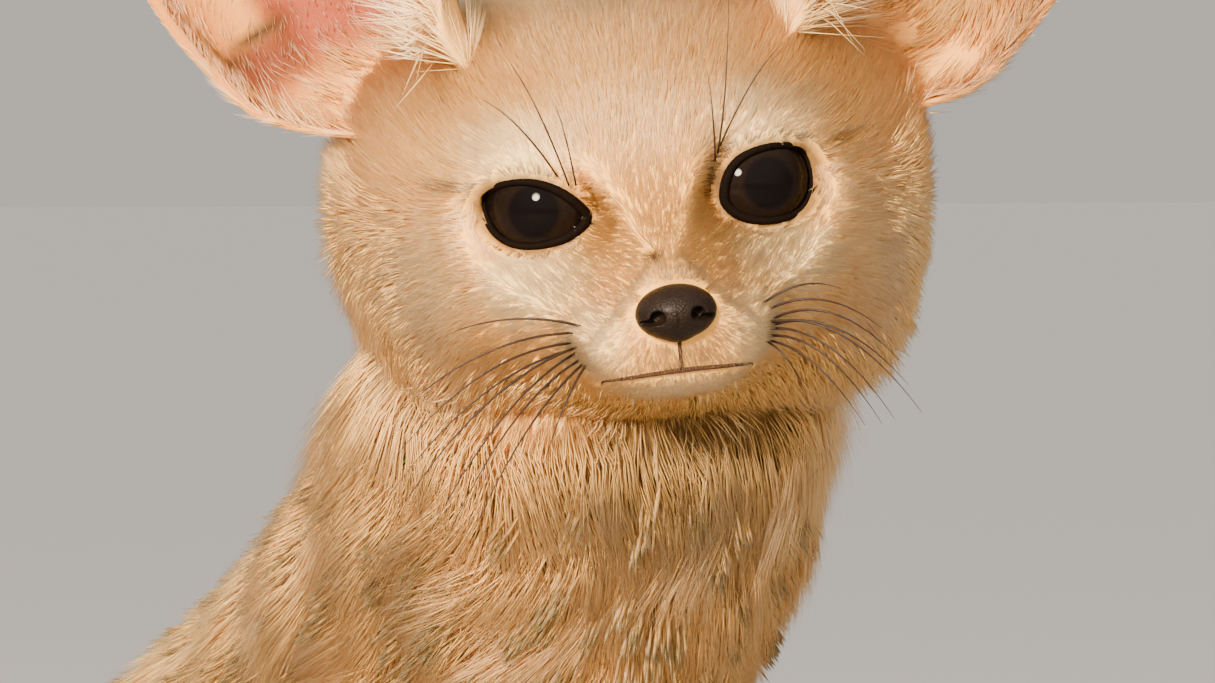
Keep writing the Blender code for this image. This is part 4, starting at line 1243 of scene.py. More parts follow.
@dataclass(frozen=True)
class NosePlan:
    """The bare nose, in the head's frame."""

    centre: tuple[float, float, float] = (0.0, -0.0585, -0.0110)
    half_size: tuple[float, float, float] = (0.0060, 0.0050, 0.0041)
    low_drop: tuple[float, float, float] = (0.0, 0.0006, -0.0021)
    low_half_size: tuple[float, float, float] = (0.0032, 0.0042, 0.0024)
    nostril: tuple[float, float, float] = (0.0030, -0.0632, -0.0112)
    nostril_half_size: tuple[float, float, float] = (0.0012, 0.0028, 0.0011)
    slit: tuple[float, float, float] = (0.0047, -0.0618, -0.0119)
    slit_half_size: tuple[float, float, float] = (0.0018, 0.0022, 0.0005)
    groove: tuple[float, float, float] = (0.0, -0.0640, -0.0132)
    groove_half_size: tuple[float, float, float] = (0.00028, 0.0013, 0.0028)
    body_voxel: float = 0.00035
    cut_voxel: float = 0.00022


@dataclass(frozen=True)
class LipPlan:
    """The line of the mouth, in the head's frame."""

    front_z: float = -0.0198
    corner_z: float = -0.0224
    reach_deg: float = 78.0
    pivot_y: float = -0.0400
    half_gap: float = 0.0002
    radius: float = 0.00042
    taper: float = 0.92
    stations: int = 41
    groove_ends: tuple[float, float] = (-0.0150, -0.0196)
    groove_radius: float = 0.0003
    groove_stations: int = 9
    search_from: tuple[float, float] = (0.08, -0.12)

    def place(self, head: np.ndarray) -> np.ndarray:
        """Where points lie round the mouth, from -1 at one corner to 1 at the other."""
        return np.arctan2(head[:, 0], self.pivot_y - head[:, 1]) / math.radians(self.reach_deg)

    def height(self, place: np.ndarray) -> np.ndarray:
        """How high the mouth's line runs at places round it."""
        return self.front_z + (self.corner_z - self.front_z) * np.asarray(place) ** 2


NOSE = NosePlan()
LIPS = LipPlan()


class Body:
    """The fox's skin: every fleshy part in one closed mesh, cut open for the eyes."""

    BODY_VOXEL = 0.0020
    PAW_VOXEL = 0.0010
    FLOOR_GAP = 0.0003
    NODES = (
        "head", "neck", "torso", "ear_left", "ear_right", "foreleg_left", "foreleg_right", "forepaw_left",
        "forepaw_right", "thigh_left", "thigh_right", "hind_foot_left", "hind_foot_right", "tail_base",
        "tail_middle", "tail_tip",
    )

    def __init__(self, anatomy: Anatomy) -> None:
        """Keeps the anatomy.

        Args:
            anatomy: What the skin is built from.
        """
        self.anatomy = anatomy

    def build(self) -> bpy.types.Object:
        """Builds the skin.

        Returns:
            The skin with its unwrap.
        """
        lines = self.anatomy.lines
        trunk = [l.skin("limb", l.limb.sides) for l in lines if l.limb.region is not Region.PAW]
        skin = fused("skin", trunk, self.BODY_VOXEL, 6)
        skin.data.transform(Matrix.Translation(BODY_SHIFT))
        others = [self.head()]
        others += [self.ear(side) for side in Side]
        others += [self.paw(l) for l in lines if l.limb.region is Region.PAW]
        boolean(skin, others, "UNION")
        cutters = []
        for side in Side:
            opening = self.lid_opening(side)
            socket = ball("socket", EYES.middle(side), (EYES.radius + 0.0001,) * 3, 64, 40)
            for cutter in (opening, socket):
                cutter.data.transform(self.anatomy.pose)
                cutters.append(cutter)
        boolean(skin, cutters, "DIFFERENCE")
        add_modifier(skin, "TRIANGULATE")
        self.settle(skin)
        self.unwrap(skin)
        skin.data.shade_smooth()
        return skin

    def head(self) -> bpy.types.Object:
        """The head's skin with the swell of the lids."""
        rows = smooth_rows(HEAD.sections, HEAD.rings, 1)
        angles = np.arange(HEAD.sides) * 2 * math.pi / HEAD.sides
        cos, sin = np.cos(angles), np.sin(angles)
        across = np.sign(cos) * np.abs(cos) ** HEAD.squareness
        upright = np.sign(sin) * np.abs(sin) ** HEAD.squareness
        rings = []
        for y, half, crown, jaw, widest in rows:
            height = np.where(sin > 0, crown - widest, widest - jaw)
            rings.append(np.stack([half * across, np.full(HEAD.sides, y), widest + height * upright], axis=1))
        ends = zip((rows[0], rows[-1]), (-1, 1))
        poles = [(0.0, end[0] + sign * HEAD.end_reach * end[1], end[4]) for end, sign in ends]
        head = ring_mesh("head_skin", rings, poles)
        points, normals = vertex_arrays(head)
        spots = [*HEAD.spots] + [(-s[0], *s[1:]) for s in HEAD.spots if s[0]]
        lift = -HEAD.coat_depth(points)
        for x, y, z, radius, height in spots:
            lift += height * np.exp(-((np.linalg.norm(points - (x, y, z), axis=1) / radius) ** 2))
        head.data.vertices.foreach_set("co", EYES.lid_skin(points + normals * lift[:, None]).ravel())
        head.data.update()
        head.data.transform(self.anatomy.pose)
        return head

    def lid_opening(self, side: Side) -> bpy.types.Object:
        """A prism with the outline of the open lids, from the eyeball's middle forwards."""
        across, upright = EYES.axes(side)
        poles = [EYES.middle(side) + EYES.axis(side) * reach for reach in (0.001, 0.030)]
        rings = [[pole + across * x + upright * z for x, z in EYES.outline(side)] for pole in poles]
        return ring_mesh("opening", rings, poles)

    def ear(self, side: Side) -> bpy.types.Object:
        """An ear's cup with the ridges inside it, closed."""
        rows = EARS.rows()
        rings = []
        for height, half, arc, inward in rows:
            radius = half / math.sin(min(arc, math.pi / 2))
            turns = np.linspace(-1.0, 1.0, EARS.across + 1)
            share = height / EARS.length
            grids = []
            for wall, inside in zip(EARS.wall, (False, True)):
                reach = radius - min(wall, 0.65 * half) + np.zeros_like(turns)
                if inside:
                    reach = reach - self.ridges(share, turns * side.value)
                x = reach * np.sin(turns * arc) - side.value * inward
                y = EARS.back_share * half + reach * np.cos(turns * arc) - radius
                grids.append(np.stack([x, y, np.full(len(turns), height)], axis=1))
            rings.append(np.concatenate([grids[0], grids[1][::-1]]))
        count, sides = len(rings), len(rings[0])
        faces = bands(0, count, sides)
        for i in (0, count - 1):
            for j in range(EARS.across):
                a, c = i * sides + j, i * sides + sides - 2 - j
                faces.append((a, a + 1, c, c + 1))
        ear = mesh_object("ear_skin", np.concatenate(rings), faces)
        ear.data.transform(self.anatomy.pose @ EARS.seat(side))
        return ear

    def ridges(self, share: float, turns: np.ndarray) -> np.ndarray:
        """The height of the long folds inside an ear at one height.

        Args:
            share: The height as a share of the ear's length.
            turns: Where round the cup, from the inner edge at -1 to the outer at 1.

        Returns:
            A height in metres for each turn.
        """
        fade = float(smooth_step(0.62, 0.20, np.array(share)) * smooth_step(-0.10, 0.04, np.array(share)))
        folds = sum(np.exp(-(((turns - at) / 0.09) ** 2)) for at in (-0.46, -0.12, 0.22, 0.52))
        return EARS.ridge_height * fade * folds

    def paw(self, line: LimbLine) -> bpy.types.Object:
        """A foot with its toes."""
        pieces = [line.skin("foot", line.limb.sides)]
        for x, y in TOES.places(line.limb):
            pieces.append(ball("toe", Vector((x, y, TOES.height)), TOES.half_size, 24, 16))
        foot = fused("foot", pieces, self.PAW_VOXEL, 3)
        foot.data.transform(Matrix.Translation(BODY_SHIFT))
        return foot

    def settle(self, skin: bpy.types.Object) -> None:
        """Flattens what would reach under the floor, and puts corners and triangles in one fixed order.

        The boolean's own order changes from run to run, and the coat's draws pick triangles by it.
        """
        points, _ = vertex_arrays(skin)
        points[:, 2] = np.maximum(points[:, 2], self.FLOOR_GAP)
        order = np.lexsort(points.T)
        faces = np.argsort(order)[read(skin.data.loops, "vertex_index", 1, int)].reshape(-1, 3)
        first = faces.argmin(axis=1)[:, None]
        faces = np.take_along_axis(faces, (first + np.arange(3)) % 3, axis=1)
        faces = faces[np.lexsort(faces.T)]
        skin.data.clear_geometry()
        skin.data.from_pydata(points[order].tolist(), [], faces.tolist())

    def unwrap(self, skin: bpy.types.Object) -> None:
        """Unwraps the skin on its own shape."""
        skin.data.uv_layers.new(name=UNWRAP_NAME)
        select_only(skin)
        bpy.ops.object.mode_set(mode="EDIT")
        bpy.ops.mesh.select_all(action="SELECT")
        bpy.ops.uv.smart_project(angle_limit=math.radians(75), island_margin=0.001)
        bpy.ops.object.mode_set(mode="OBJECT")


def read(items: bpy.types.bpy_prop_collection, name: str, width: int, kind: type = float) -> np.ndarray:
    """The values of one property of many items, as rows of a width."""
    values = np.empty(len(items) * width, kind)
    items.foreach_get(name, values)
    return values.reshape(-1, width)


def vertex_arrays(obj: bpy.types.Object) -> tuple[np.ndarray, np.ndarray]:
    """The places and normals of a mesh's corners."""
    return read(obj.data.vertices, "co", 3), read(obj.data.vertices, "normal", 3)


def dress(piece: bpy.types.Object, material: bpy.types.Material) -> None:
    """Gives a piece its one material."""
    piece.data.materials.clear()
    piece.data.materials.append(material)
    piece.data.polygons.foreach_set("material_index", np.zeros(len(piece.data.polygons), np.int32))


def set_colours(mesh: bpy.types.Mesh, name: str, values: np.ndarray) -> None:
    """Keeps four numbers a corner under a name, for the materials to read."""
    layer = mesh.color_attributes.new(name=name, type="FLOAT_COLOR", domain="POINT")
    layer.data.foreach_set("color", np.ascontiguousarray(values, np.float32).ravel())


@dataclass
class Roots:
    """Where tufts grow: their places on the skin and on its unwrap."""

    places: Places
    unwrap: np.ndarray


class Coat:
    """The fur: thin solid tufts rooted in the skin."""

    UNDER_SKIN = 0.0005
    BEND_SHARE = 0.42
    LAID_SHARE = 0.5
    LAID_STRAIGHT = {Region.CROWN: 1.0}
    SWAY_SHARE = 0.30
    LENGTHS = (0.72, 1.12)
    HEIGHTS = (0.68, 1.02)
    CLUMP_SWING = (0.6, 1.2)
    CLUMP_USUAL = 12
    WAVE_LIFT = 0.5
    LEAST_REACH = 0.3
    TINT_SWING = 0.6
    LOWEST_ROOT = 0.0008
    LOWEST_TIP = 0.0006
    RIDGE_SHARE = 0.35
    BELLY_SHARE = 0.22
    CLUMP_EVERY = {Region.NECK: 44, Region.TRUNK: 20, Region.TAIL: 18, Region.RUFF: 30, Region.CROWN: 18}
    COMBED = (Region.RUFF, Region.NECK)
    MOST_RISE = 0.70
    MOST_CLIMB = 0.0030
    SPECK_DENSITY = {Region.NECK: 0.020, Region.TRUNK: 0.012}
    SPECKS_UNDER = (0.176, 0.164)
    SPECKS_FINE = (0.105, 0.130)
    SPECK_TUFTS = 14
    SPECK_SIZE = (0.00070, 0.00160)
    SPECK_REACH = 0.0090
    SPECK_TIP = 0.0028
    SPECK_WIDTH = 0.00060

    def __init__(self, anatomy: Anatomy, skin: bpy.types.Object) -> None:
        """Reads the skin.

        Args:
            anatomy: What tells how the coat grows.
            skin: The skin that it grows from.
        """
        self.anatomy = anatomy
        self.luck = np.random.default_rng(COAT_SEED)
        self.tree = BVHTree.FromObject(skin, bpy.context.evaluated_depsgraph_get())
        mesh = skin.data
        mesh.calc_loop_triangles()
        self.corners = read(mesh.loop_triangles, "vertices", 3, int)
        self.loops = read(mesh.loop_triangles, "loops", 3, int)
        self.points, self.normals = vertex_arrays(skin)
        self.uv = read(mesh.uv_layers[UNWRAP_NAME].uv, "vector", 2)
        a, b, c = (self.points[self.corners[:, i]] for i in range(3))
        cross = np.cross(b - a, c - a)
        self.area = 0.5 * np.linalg.norm(cross, axis=1)
        middles = (a + b + c) / 3.0
        self.regions = anatomy.place(middles, unit(cross)).region

    def roots(self, region: Region, density: float) -> Roots:
        """Draws the roots of a region's coat.

        Args:
            region: The region.
            density: How many roots a square millimetre has.

        Returns:
            Its roots.
        """
        mine = np.flatnonzero(self.regions == region.value)
        area = self.area[mine]
        count = int(area.sum() * 1e6 * density)
        chosen = self.luck.choice(mine, size=count, p=area / area.sum())
        u, v = self.luck.random((2, count))
        flip = u + v > 1.0
        u, v = np.where(flip, 1.0 - u, u), np.where(flip, 1.0 - v, v)
        weights = np.stack([1.0 - u - v, u, v], axis=1)
        points = np.einsum("nk,nkc->nc", weights, self.points[self.corners[chosen]])
        normals = unit(np.einsum("nk,nkc->nc", weights, self.normals[self.corners[chosen]]))
        unwrap = np.einsum("nk,nkc->nc", weights, self.uv[self.loops[chosen]])
        places = self.anatomy.place(points, normals)
        keep = (points[:, 2] > self.LOWEST_ROOT) & (places.length > 0.0)
        return Roots(self.part(places, keep), unwrap[keep])

    def part(self, places: Places, keep: np.ndarray) -> Places:
        """Only the kept ones of some places."""
        return Places(**{name: value[keep] for name, value in vars(places).items()})

    def clumps(self, places: Places, every: int) -> np.ndarray:
        """Gathers tufts into locks.

        Args:
            places: The roots.
            every: How many tufts a lock has.

        Returns:
            The root that leads each tuft's lock.
        """
        count = len(places.points)
        leaders = self.luck.choice(count, size=max(1, count // every), replace=False)
        tree = KDTree(len(leaders))
        for i, leader in enumerate(leaders):
            tree.insert(places.points[leader], i)
        tree.balance()
        led = np.array([tree.find(point)[1] for point in places.points])
        return leaders[led]

    def grow(self, name: str, region: Region, slot: str) -> list[bpy.types.Object]:
        """Grows a region's coat as pieces of a bearable size.

        Args:
            name: The pieces' name.
            region: The region.
            slot: Not used; it is only handed on to the pieces.

        Returns:
            The pieces.
        """
        style = COAT_STYLES[region]
        roots = self.roots(region, style.density)
        places = roots.places
        count = len(places.points)
        luck = self.luck
        length = places.length * luck.uniform(*self.LENGTHS, count)
        height = places.height * luck.uniform(*self.HEIGHTS, count)
        wave = self.anatomy.waves(places.points) * style.wave
        across = np.cross(places.normals, places.lie)
        height *= 1.0 + self.WAVE_LIFT * wave[:, 1]
        lie = places.lie + across * wave[:, :1] + style.scatter * luck.normal(size=(count, 3))
        lie = laid_flat(lie, places.normals)
        reach = np.sqrt(np.maximum(length**2 - height**2, (self.LEAST_REACH * length) ** 2))
        share = self.LAID_SHARE if style.bends else self.LAID_STRAIGHT.get(region, 0.0)
        tips = self.laid(places.points + lie * reach[:, None], places.normals, height, share)
        lead = self.clumps(places, self.CLUMP_EVERY.get(region, self.CLUMP_USUAL))
        if style.clump:
            tips += (tips[lead] - tips) * (style.clump * luck.uniform(*self.CLUMP_SWING, count))[:, None]
        tips[:, 2] = np.maximum(tips[:, 2], self.LOWEST_TIP)
        if style.bends:
            tips = self.combed(places, tips, length, region in self.COMBED)
        own, shared = luck.uniform(-1, 1, count), luck.uniform(-1, 1, count)[lead]
        tint = 0.5 + 0.5 * (self.TINT_SWING * own + self.TINT_SWING * shared)
        sway = across * (wave[:, 1] * length * self.SWAY_SHARE)[:, None]
        if style.bends:
            shape, grown = self.bent(places, tips, height, sway, style), BENT_GROWN
        else:
            shape, grown = self.straight(places, tips, style), STRAIGHT_GROWN
        return self.pieces(name, slot, shape, roots.unwrap, places.marks, tint, np.zeros(count), grown)

    def combed(self, places: Places, tips: np.ndarray, length: np.ndarray, down: bool) -> np.ndarray:
        """Lays down the tufts that stand up, climb or jump across a fold of the skin.

        Args:
            places: The roots.
            tips: The tips, as grown.
            length: The tufts' lengths.
            down: Whether tufts below the cheeks that climb are laid down too.

        Returns:
            The tips.
        """
        off = tips - places.points
        reach = np.linalg.norm(off, axis=1)
        rise = dot(off, places.normals) / reach
        low = down & (places.head[:, 2] < -0.010)
        stray = low & ((rise > self.MOST_RISE) | (off[:, 2] > self.MOST_CLIMB)) | (reach > 1.2 * length)
        way = unit(places.lie + np.array((0.0, 0.0, -0.6)) * low[:, None])
        flat = way * (0.55 * length)[:, None] + places.normals * 0.0015
        return np.where(stray[:, None], places.points + flat, tips)

    def specks(self, name: str, slot: str) -> list[bpy.types.Object]:
        """The short dark dashes that the ends of dark hairs make on neck, back and flanks.

        Args:
            name: The piece's name.
            slot: Not used; it is only handed on to the pieces.

        Returns:
            The pieces.
        """
        luck = self.luck
        found = [self.roots(region, density) for region, density in self.SPECK_DENSITY.items()]
        names = vars(found[0].places)
        centres = Places(**{n: np.concatenate([getattr(r.places, n) for r in found]) for n in names})
        unwrap = np.concatenate([r.unwrap for r in found])
        many = self.SPECK_TUFTS
        keep = luck.random(len(centres.points)) < smooth_step(*self.SPECKS_UNDER, centres.points[:, 2])
        centres, unwrap = self.part(centres, keep), unwrap[keep]
        across = np.cross(centres.normals, centres.lie)
        high = smooth_step(*self.SPECKS_FINE, centres.points[:, 2])
        size = luck.uniform(0.6, 1.3, (len(centres.points), 1, 1)) * (0.5 + 0.5 * high)[:, None, None]
        shares = luck.normal(size=(2, len(centres.points), many, 1)) * size
        off = across[:, None] * shares[0] * self.SPECK_SIZE[0]
        off = off + centres.lie[:, None] * shares[1] * self.SPECK_SIZE[1]
        tips = (centres.points[:, None] + off).reshape(-1, 3)
        size = np.repeat(size.ravel(), many)[:, None]
        normals, lie = (np.repeat(v, many, axis=0) for v in (centres.normals, centres.lie))
        outer = np.repeat(centres.height, many) * luck.uniform(1.00, 1.12, len(tips))
        root = tips - lie * self.SPECK_REACH - normals * self.UNDER_SKIN
        tips = self.laid(tips, normals, outer, 1.0)
        way = unit(tips - root)
        middle = tips - way * self.SPECK_TIP * size
        side = unit(np.cross(way, normals)) * (0.5 * self.SPECK_WIDTH)
        rise = normals * (self.RIDGE_SHARE * self.SPECK_WIDTH)
        shape = np.stack([root, middle - side, middle + rise, middle + side, tips], axis=1)
        marks, unwrap = (np.repeat(v, many, axis=0) for v in (centres.marks, unwrap))
        tint, dark_tip = luck.uniform(0.0, 1.0, len(tips)), luck.uniform(0.75, 0.95, len(tips))
        dark_tip = dark_tip * np.repeat(0.26 + 0.74 * high, many)
        return self.pieces(name, slot, shape, unwrap, marks, tint, dark_tip, SPECK_GROWN)

    def laid(self, tips: np.ndarray, normals: np.ndarray, height: np.ndarray, share: float) -> np.ndarray:
        """Sets the tips at their height over the skin.

        Args:
            tips: Where they would be on the plane of their roots.
            normals: The skin's normals at the roots.
            height: How high the tips lie.
            share: How closely the coat follows the skin's bend, from 0 to 1.

        Returns:
            The tips.
        """
        if not share:
            return tips + normals * height[:, None]
        laid = np.empty_like(tips)
        for i, tip in enumerate(tips):
            place, normal, _, _ = self.tree.find_nearest(tip)
            laid[i] = place + normal * height[i]
        return share * laid + (1.0 - share) * (tips + normals * height[:, None])

    def straight(self, places: Places, tips: np.ndarray, style: CoatStyle) -> np.ndarray:
        """Short tufts of three faces: the corners of each, root first."""
        root = places.points - places.normals * self.UNDER_SKIN
        side = unit(np.cross(tips - root, places.normals)) * (0.5 * style.width)
        rise = places.normals * (self.RIDGE_SHARE * style.width)
        return np.stack([root - side, root + rise, root + side, tips], axis=1)

    def bent(
        self, places: Places, tips: np.ndarray, height: np.ndarray, sway: np.ndarray, style: CoatStyle
    ) -> np.ndarray:
        """Long tufts of six faces, thickest below their middle: the corners of each, root first."""
        root = places.points - places.normals * self.UNDER_SKIN
        side = unit(np.cross(tips - root, places.normals)) * (0.5 * style.width)
        rise = places.normals * (self.RIDGE_SHARE * style.width)
        belly = places.normals * (self.BELLY_SHARE * height)[:, None]
        middle = root + (tips - root) * self.BEND_SHARE + belly + sway
        return np.stack([root, middle - side, middle + rise, middle + side, tips], axis=1)

    def pieces(
        self, name: str, slot: str, shape: np.ndarray, unwrap: np.ndarray, marks: np.ndarray,
        tint: np.ndarray, dark_tip: np.ndarray, grown: tuple[float, ...],
    ) -> list[bpy.types.Object]:
        """Makes meshes of tufts.

        Args:
            name: The pieces' name.
            slot: Not used.
            shape: The corners of each tuft.
            unwrap: The place of each root on the skin's unwrap.
            marks: The markings and painted shade at each root.
            tint: How light each tuft is.
            dark_tip: How dark each tuft's tip is.
            grown: How far along the tuft each of its corners counts as.

        Returns:
            The pieces.
        """
        corners = shape.shape[1]
        faces = STRAIGHT_FACES if corners == 4 else BENT_FACES
        limit = PIECE_TRIANGLES // len(faces)
        parts = np.array_split(np.argsort(shape[:, 0, 2]), math.ceil(len(shape) / limit))
        made = []
        for k, part in enumerate(parts):
            label = name if len(parts) == 1 else f"{name}_{k + 1}"
            made.append(self.tuft_mesh(label, shape[part], faces, unwrap[part]))
            values = np.ones((len(part), corners, 4))
            values[:, :, 0] = tint[part, None]
            values[:, :, 1] = grown
            values[:, :, 2] = dark_tip[part, None]
            set_colours(made[-1].data, "strand", values.reshape(-1, 4))
            set_colours(made[-1].data, "marks", np.repeat(marks[part], corners, axis=0))
            dress(made[-1], COAT_FINISH.material())
        return made

    def tuft_mesh(
        self, name: str, shape: np.ndarray, faces: np.ndarray, unwrap: np.ndarray
    ) -> bpy.types.Object:
        """One mesh of many tufts, each with its own small patch of the skin's unwrap."""
        count, corners = shape.shape[:2]
        mesh = bpy.data.meshes.new(name)
        mesh.vertices.add(count * corners)
        mesh.vertices.foreach_set("co", shape.astype(np.float32).ravel())
        loops = (faces[None] + (np.arange(count) * corners)[:, None, None]).ravel()
        mesh.loops.add(len(loops))
        mesh.loops.foreach_set("vertex_index", loops.astype(np.int32))
        mesh.polygons.add(len(loops) // 3)
        mesh.polygons.foreach_set("loop_start", np.arange(0, len(loops), 3, dtype=np.int32))
        spread = PATCH_SIZE * (STRAIGHT_PATCH if corners == 4 else BENT_PATCH)
        uv = (unwrap[:, None, :] + spread[None]).reshape(-1, 2)[loops]
        mesh.uv_layers.new(name=UNWRAP_NAME)
        mesh.uv_layers[UNWRAP_NAME].uv.foreach_set("vector", np.clip(uv, 0.0, 1.0).astype(np.float32).ravel())
        mesh.update(calc_edges=True)
        mesh.validate()
        mesh.shade_smooth()
        return linked(name, mesh)


STRAIGHT_FACES = np.array(((0, 1, 3), (1, 2, 3), (2, 0, 3)))
BENT_FACES = np.array(((2, 1, 0), (3, 2, 0), (1, 3, 0), (1, 2, 4), (2, 3, 4), (3, 1, 4)))
STRAIGHT_PATCH = np.array(((-0.5, -0.5), (0.0, -0.5), (0.5, -0.5), (0.0, 0.5)))
BENT_PATCH = np.array(((0.0, -0.5), (-0.5, 0.0), (0.0, 0.0), (0.5, 0.0), (0.0, 0.5)))
STRAIGHT_GROWN = (0.0, 0.1, 0.0, 1.0)
BENT_GROWN = (0.0, 0.40, 0.45, 0.40, 1.0)
SPECK_GROWN = (0.0, 0.65, 0.65, 0.65, 1.0)


class Nodes:
    """A short way to wire shader nodes."""

    def __init__(self, tree: bpy.types.NodeTree) -> None:
        """Keeps the tree.

        Args:
            tree: The tree that gets the nodes.
        """
        self.tree = tree

    def add(self, kind: str, inputs: dict | None = None, **settings: object) -> bpy.types.Node:
        """Adds a node.

        Args:
            kind: The node's type.
            inputs: Values or sockets for its inputs, by name or number.
            settings: Its own properties.

        Returns:
            The node.
        """
        node = self.tree.nodes.new(kind)
        for key, value in settings.items():
            setattr(node, key, value)
        self.feed(node, inputs or {})
        return node

    def feed(self, node: bpy.types.Node, inputs: dict) -> None:
        """Sets or wires inputs of a node, by name or number."""
        for key, value in inputs.items():
            if isinstance(value, bpy.types.NodeSocket):
                self.tree.links.new(value, node.inputs[key])
            else:
                node.inputs[key].default_value = value

    def ramp(
        self, value: bpy.types.NodeSocket, low: float, high: float, start: object = 0.0, end: float = 1.0,
        **settings: object,
    ) -> bpy.types.NodeSocket:
        """Turns values from low to high into values from start to end."""
        inputs = {0: value, 1: low, 2: high, 3: start, 4: end}
        return self.add("ShaderNodeMapRange", inputs, **settings).outputs[0]

    def bump(
        self, shader: bpy.types.Node, height: bpy.types.NodeSocket, strength: float, depth: float
    ) -> None:
        """Roughens a shader's surface by a height."""
        settings = {"Height": height, "Strength": strength, "Distance": depth}
        self.feed(shader, {"Normal": self.add("ShaderNodeBump", settings).outputs[0]})

    def noise(self, place: bpy.types.NodeSocket, scale: float, detail: float = 2.0) -> bpy.types.NodeSocket:
        """Soft noise at a place."""
        inputs = {"Vector": place, "Scale": scale, "Detail": detail}
        return self.add("ShaderNodeTexNoise", inputs).outputs[0]

    def attribute(self, name: str) -> bpy.types.bpy_prop_collection:
        """The outputs of a node that reads a named attribute."""
        return self.add("ShaderNodeAttribute", attribute_name=name).outputs

    def mix(self, share: object, first: object, second: object, blend: str = "MIX") -> bpy.types.NodeSocket:
        """Mixes two colours by a share."""
        node = self.add("ShaderNodeMix", {0: share, 6: first, 7: second}, data_type="RGBA", blend_type=blend)
        return node.outputs[2]

    def math(self, kind: str, first: object, second: object = 0.5) -> bpy.types.NodeSocket:
        """Calculates with two values."""
        return self.add("ShaderNodeMath", {0: first, 1: second}, operation=kind).outputs[0]


def new_material(name: str) -> tuple[bpy.types.Material, Nodes, bpy.types.Node]:
    """An empty material with its shader.

    Args:
        name: The material's name.

    Returns:
        The material, its nodes and its Principled shader.
    """
    material = bpy.data.materials.new(name)
    material.use_nodes = True
    return material, Nodes(material.node_tree), material.node_tree.nodes["Principled BSDF"]


def colour_group() -> bpy.types.NodeTree:
    """The shared pattern of skin and coat: markings with painted shade, tints, dark tips and fine variation.
    """
    name = "coat_pattern"
    if name in bpy.data.node_groups:
        return bpy.data.node_groups[name]
    group = bpy.data.node_groups.new(name, "ShaderNodeTree")
    for label in ("Marks", "Strand", "Sandy", "Pale", "Rust", "Dark", "Pink"):
        group.interface.new_socket(label, in_out="INPUT", socket_type="NodeSocketColor")
    for label in ("Pink Mark", "Root Shade"):
        group.interface.new_socket(label, in_out="INPUT", socket_type="NodeSocketFloat")
    for label, kind in (("Color", "Color"), ("Roughness", "Float"), ("Height", "Float")):
        group.interface.new_socket(label, in_out="OUTPUT", socket_type=f"NodeSocket{kind}")
    nodes = Nodes(group)
    source = nodes.add("NodeGroupInput").outputs
    marks = nodes.add("ShaderNodeSeparateColor", {0: source["Marks"]}).outputs
    strand = nodes.add("ShaderNodeSeparateColor", {0: source["Strand"]}).outputs
    place = nodes.add("ShaderNodeTexCoord").outputs["Object"]
    broad, fine = nodes.noise(place, 55.0), nodes.noise(place, 900.0)
    colour = nodes.mix(marks[0], source["Sandy"], source["Pale"])
    colour = nodes.mix(marks[1], colour, source["Rust"])
    colour = nodes.mix(source["Pink Mark"], colour, source["Pink"])
    lightness = nodes.math("ADD", nodes.math("MULTIPLY", strand[0], 0.24), 0.86)
    lightness = nodes.math("ADD", lightness, nodes.math("MULTIPLY", broad, 0.16))
    lightness = nodes.math("SUBTRACT", lightness, 0.06)
    grown = nodes.ramp(strand[1], 0.0, 0.7, source["Root Shade"])
    lightness = nodes.math("MULTIPLY", lightness, grown)
    grey = nodes.add("ShaderNodeCombineColor", {0: lightness, 1: lightness, 2: lightness}).outputs[0]
    colour = nodes.mix(1.0, colour, grey, "MULTIPLY")
    tip = nodes.math("MULTIPLY", strand[2], nodes.ramp(strand[1], 0.25, 0.75))
    darkness = nodes.math("MAXIMUM", marks[2], tip)
    colour = nodes.mix(darkness, colour, source["Dark"])
    rough = nodes.math("ADD", nodes.math("MULTIPLY", fine, 0.20), 0.55)
    nodes.add("NodeGroupOutput", {"Color": colour, "Roughness": rough, "Height": fine})
    return group


class Finish:
    """A finish whose material is made once."""

    name: str

    def material(self) -> bpy.types.Material:
        """The finish as a material."""
        return bpy.data.materials.get(self.name) or self.made()

    def made(self) -> bpy.types.Material:
        """Makes the material."""
        raise NotImplementedError


@dataclass(frozen=True)
class CoatFinish(Finish):
    """The fur's colours, with the shade near its roots."""

    name: str = "fox_coat"
    sandy: tuple = (1.00, 0.50, 0.110, 1.0)
    pale: tuple = (1.00, 0.67, 0.27, 1.0)
    rust: tuple = (0.80, 0.33, 0.070, 1.0)
    dark: tuple = (0.050, 0.028, 0.012, 1.0)
    pink: tuple = (0.34, 0.078, 0.034, 1.0)
    root_shade: float = 0.86
    bump: float = 0.0
    bump_depth: float = 0.0004
    softness: float = 0.5
    soft_reach: tuple = (1.0, 0.8, 0.6)
    soft_scale: float = 0.0012
    shine: float = 0.12

    def made(self) -> bpy.types.Material:
        """Makes the material, which reads the markings, painted shade and strands that each mesh keeps."""
        material, nodes, shader = new_material(self.name)
        marks, strand = nodes.attribute("marks"), nodes.attribute("strand")
        group = nodes.add("ShaderNodeGroup", node_tree=colour_group())
        nodes.feed(group, {
            "Sandy": self.sandy, "Pale": self.pale, "Rust": self.rust, "Dark": self.dark, "Pink": self.pink,
            "Root Shade": self.root_shade, "Marks": marks["Color"], "Pink Mark": marks["Alpha"],
            "Strand": strand["Color"],
        })
        nodes.feed(shader, {
            "Base Color": group.outputs["Color"], "Roughness": group.outputs["Roughness"],
            "Specular IOR Level": self.shine, "Subsurface Weight": self.softness,
            "Subsurface Radius": self.soft_reach, "Subsurface Scale": self.soft_scale,
        })
        if self.bump:
            nodes.bump(shader, group.outputs["Height"], self.bump, self.bump_depth)
        return material


COAT_FINISH = CoatFinish()
SKIN_FINISH = CoatFinish(name="fox_skin", root_shade=0.70, bump=0.6)


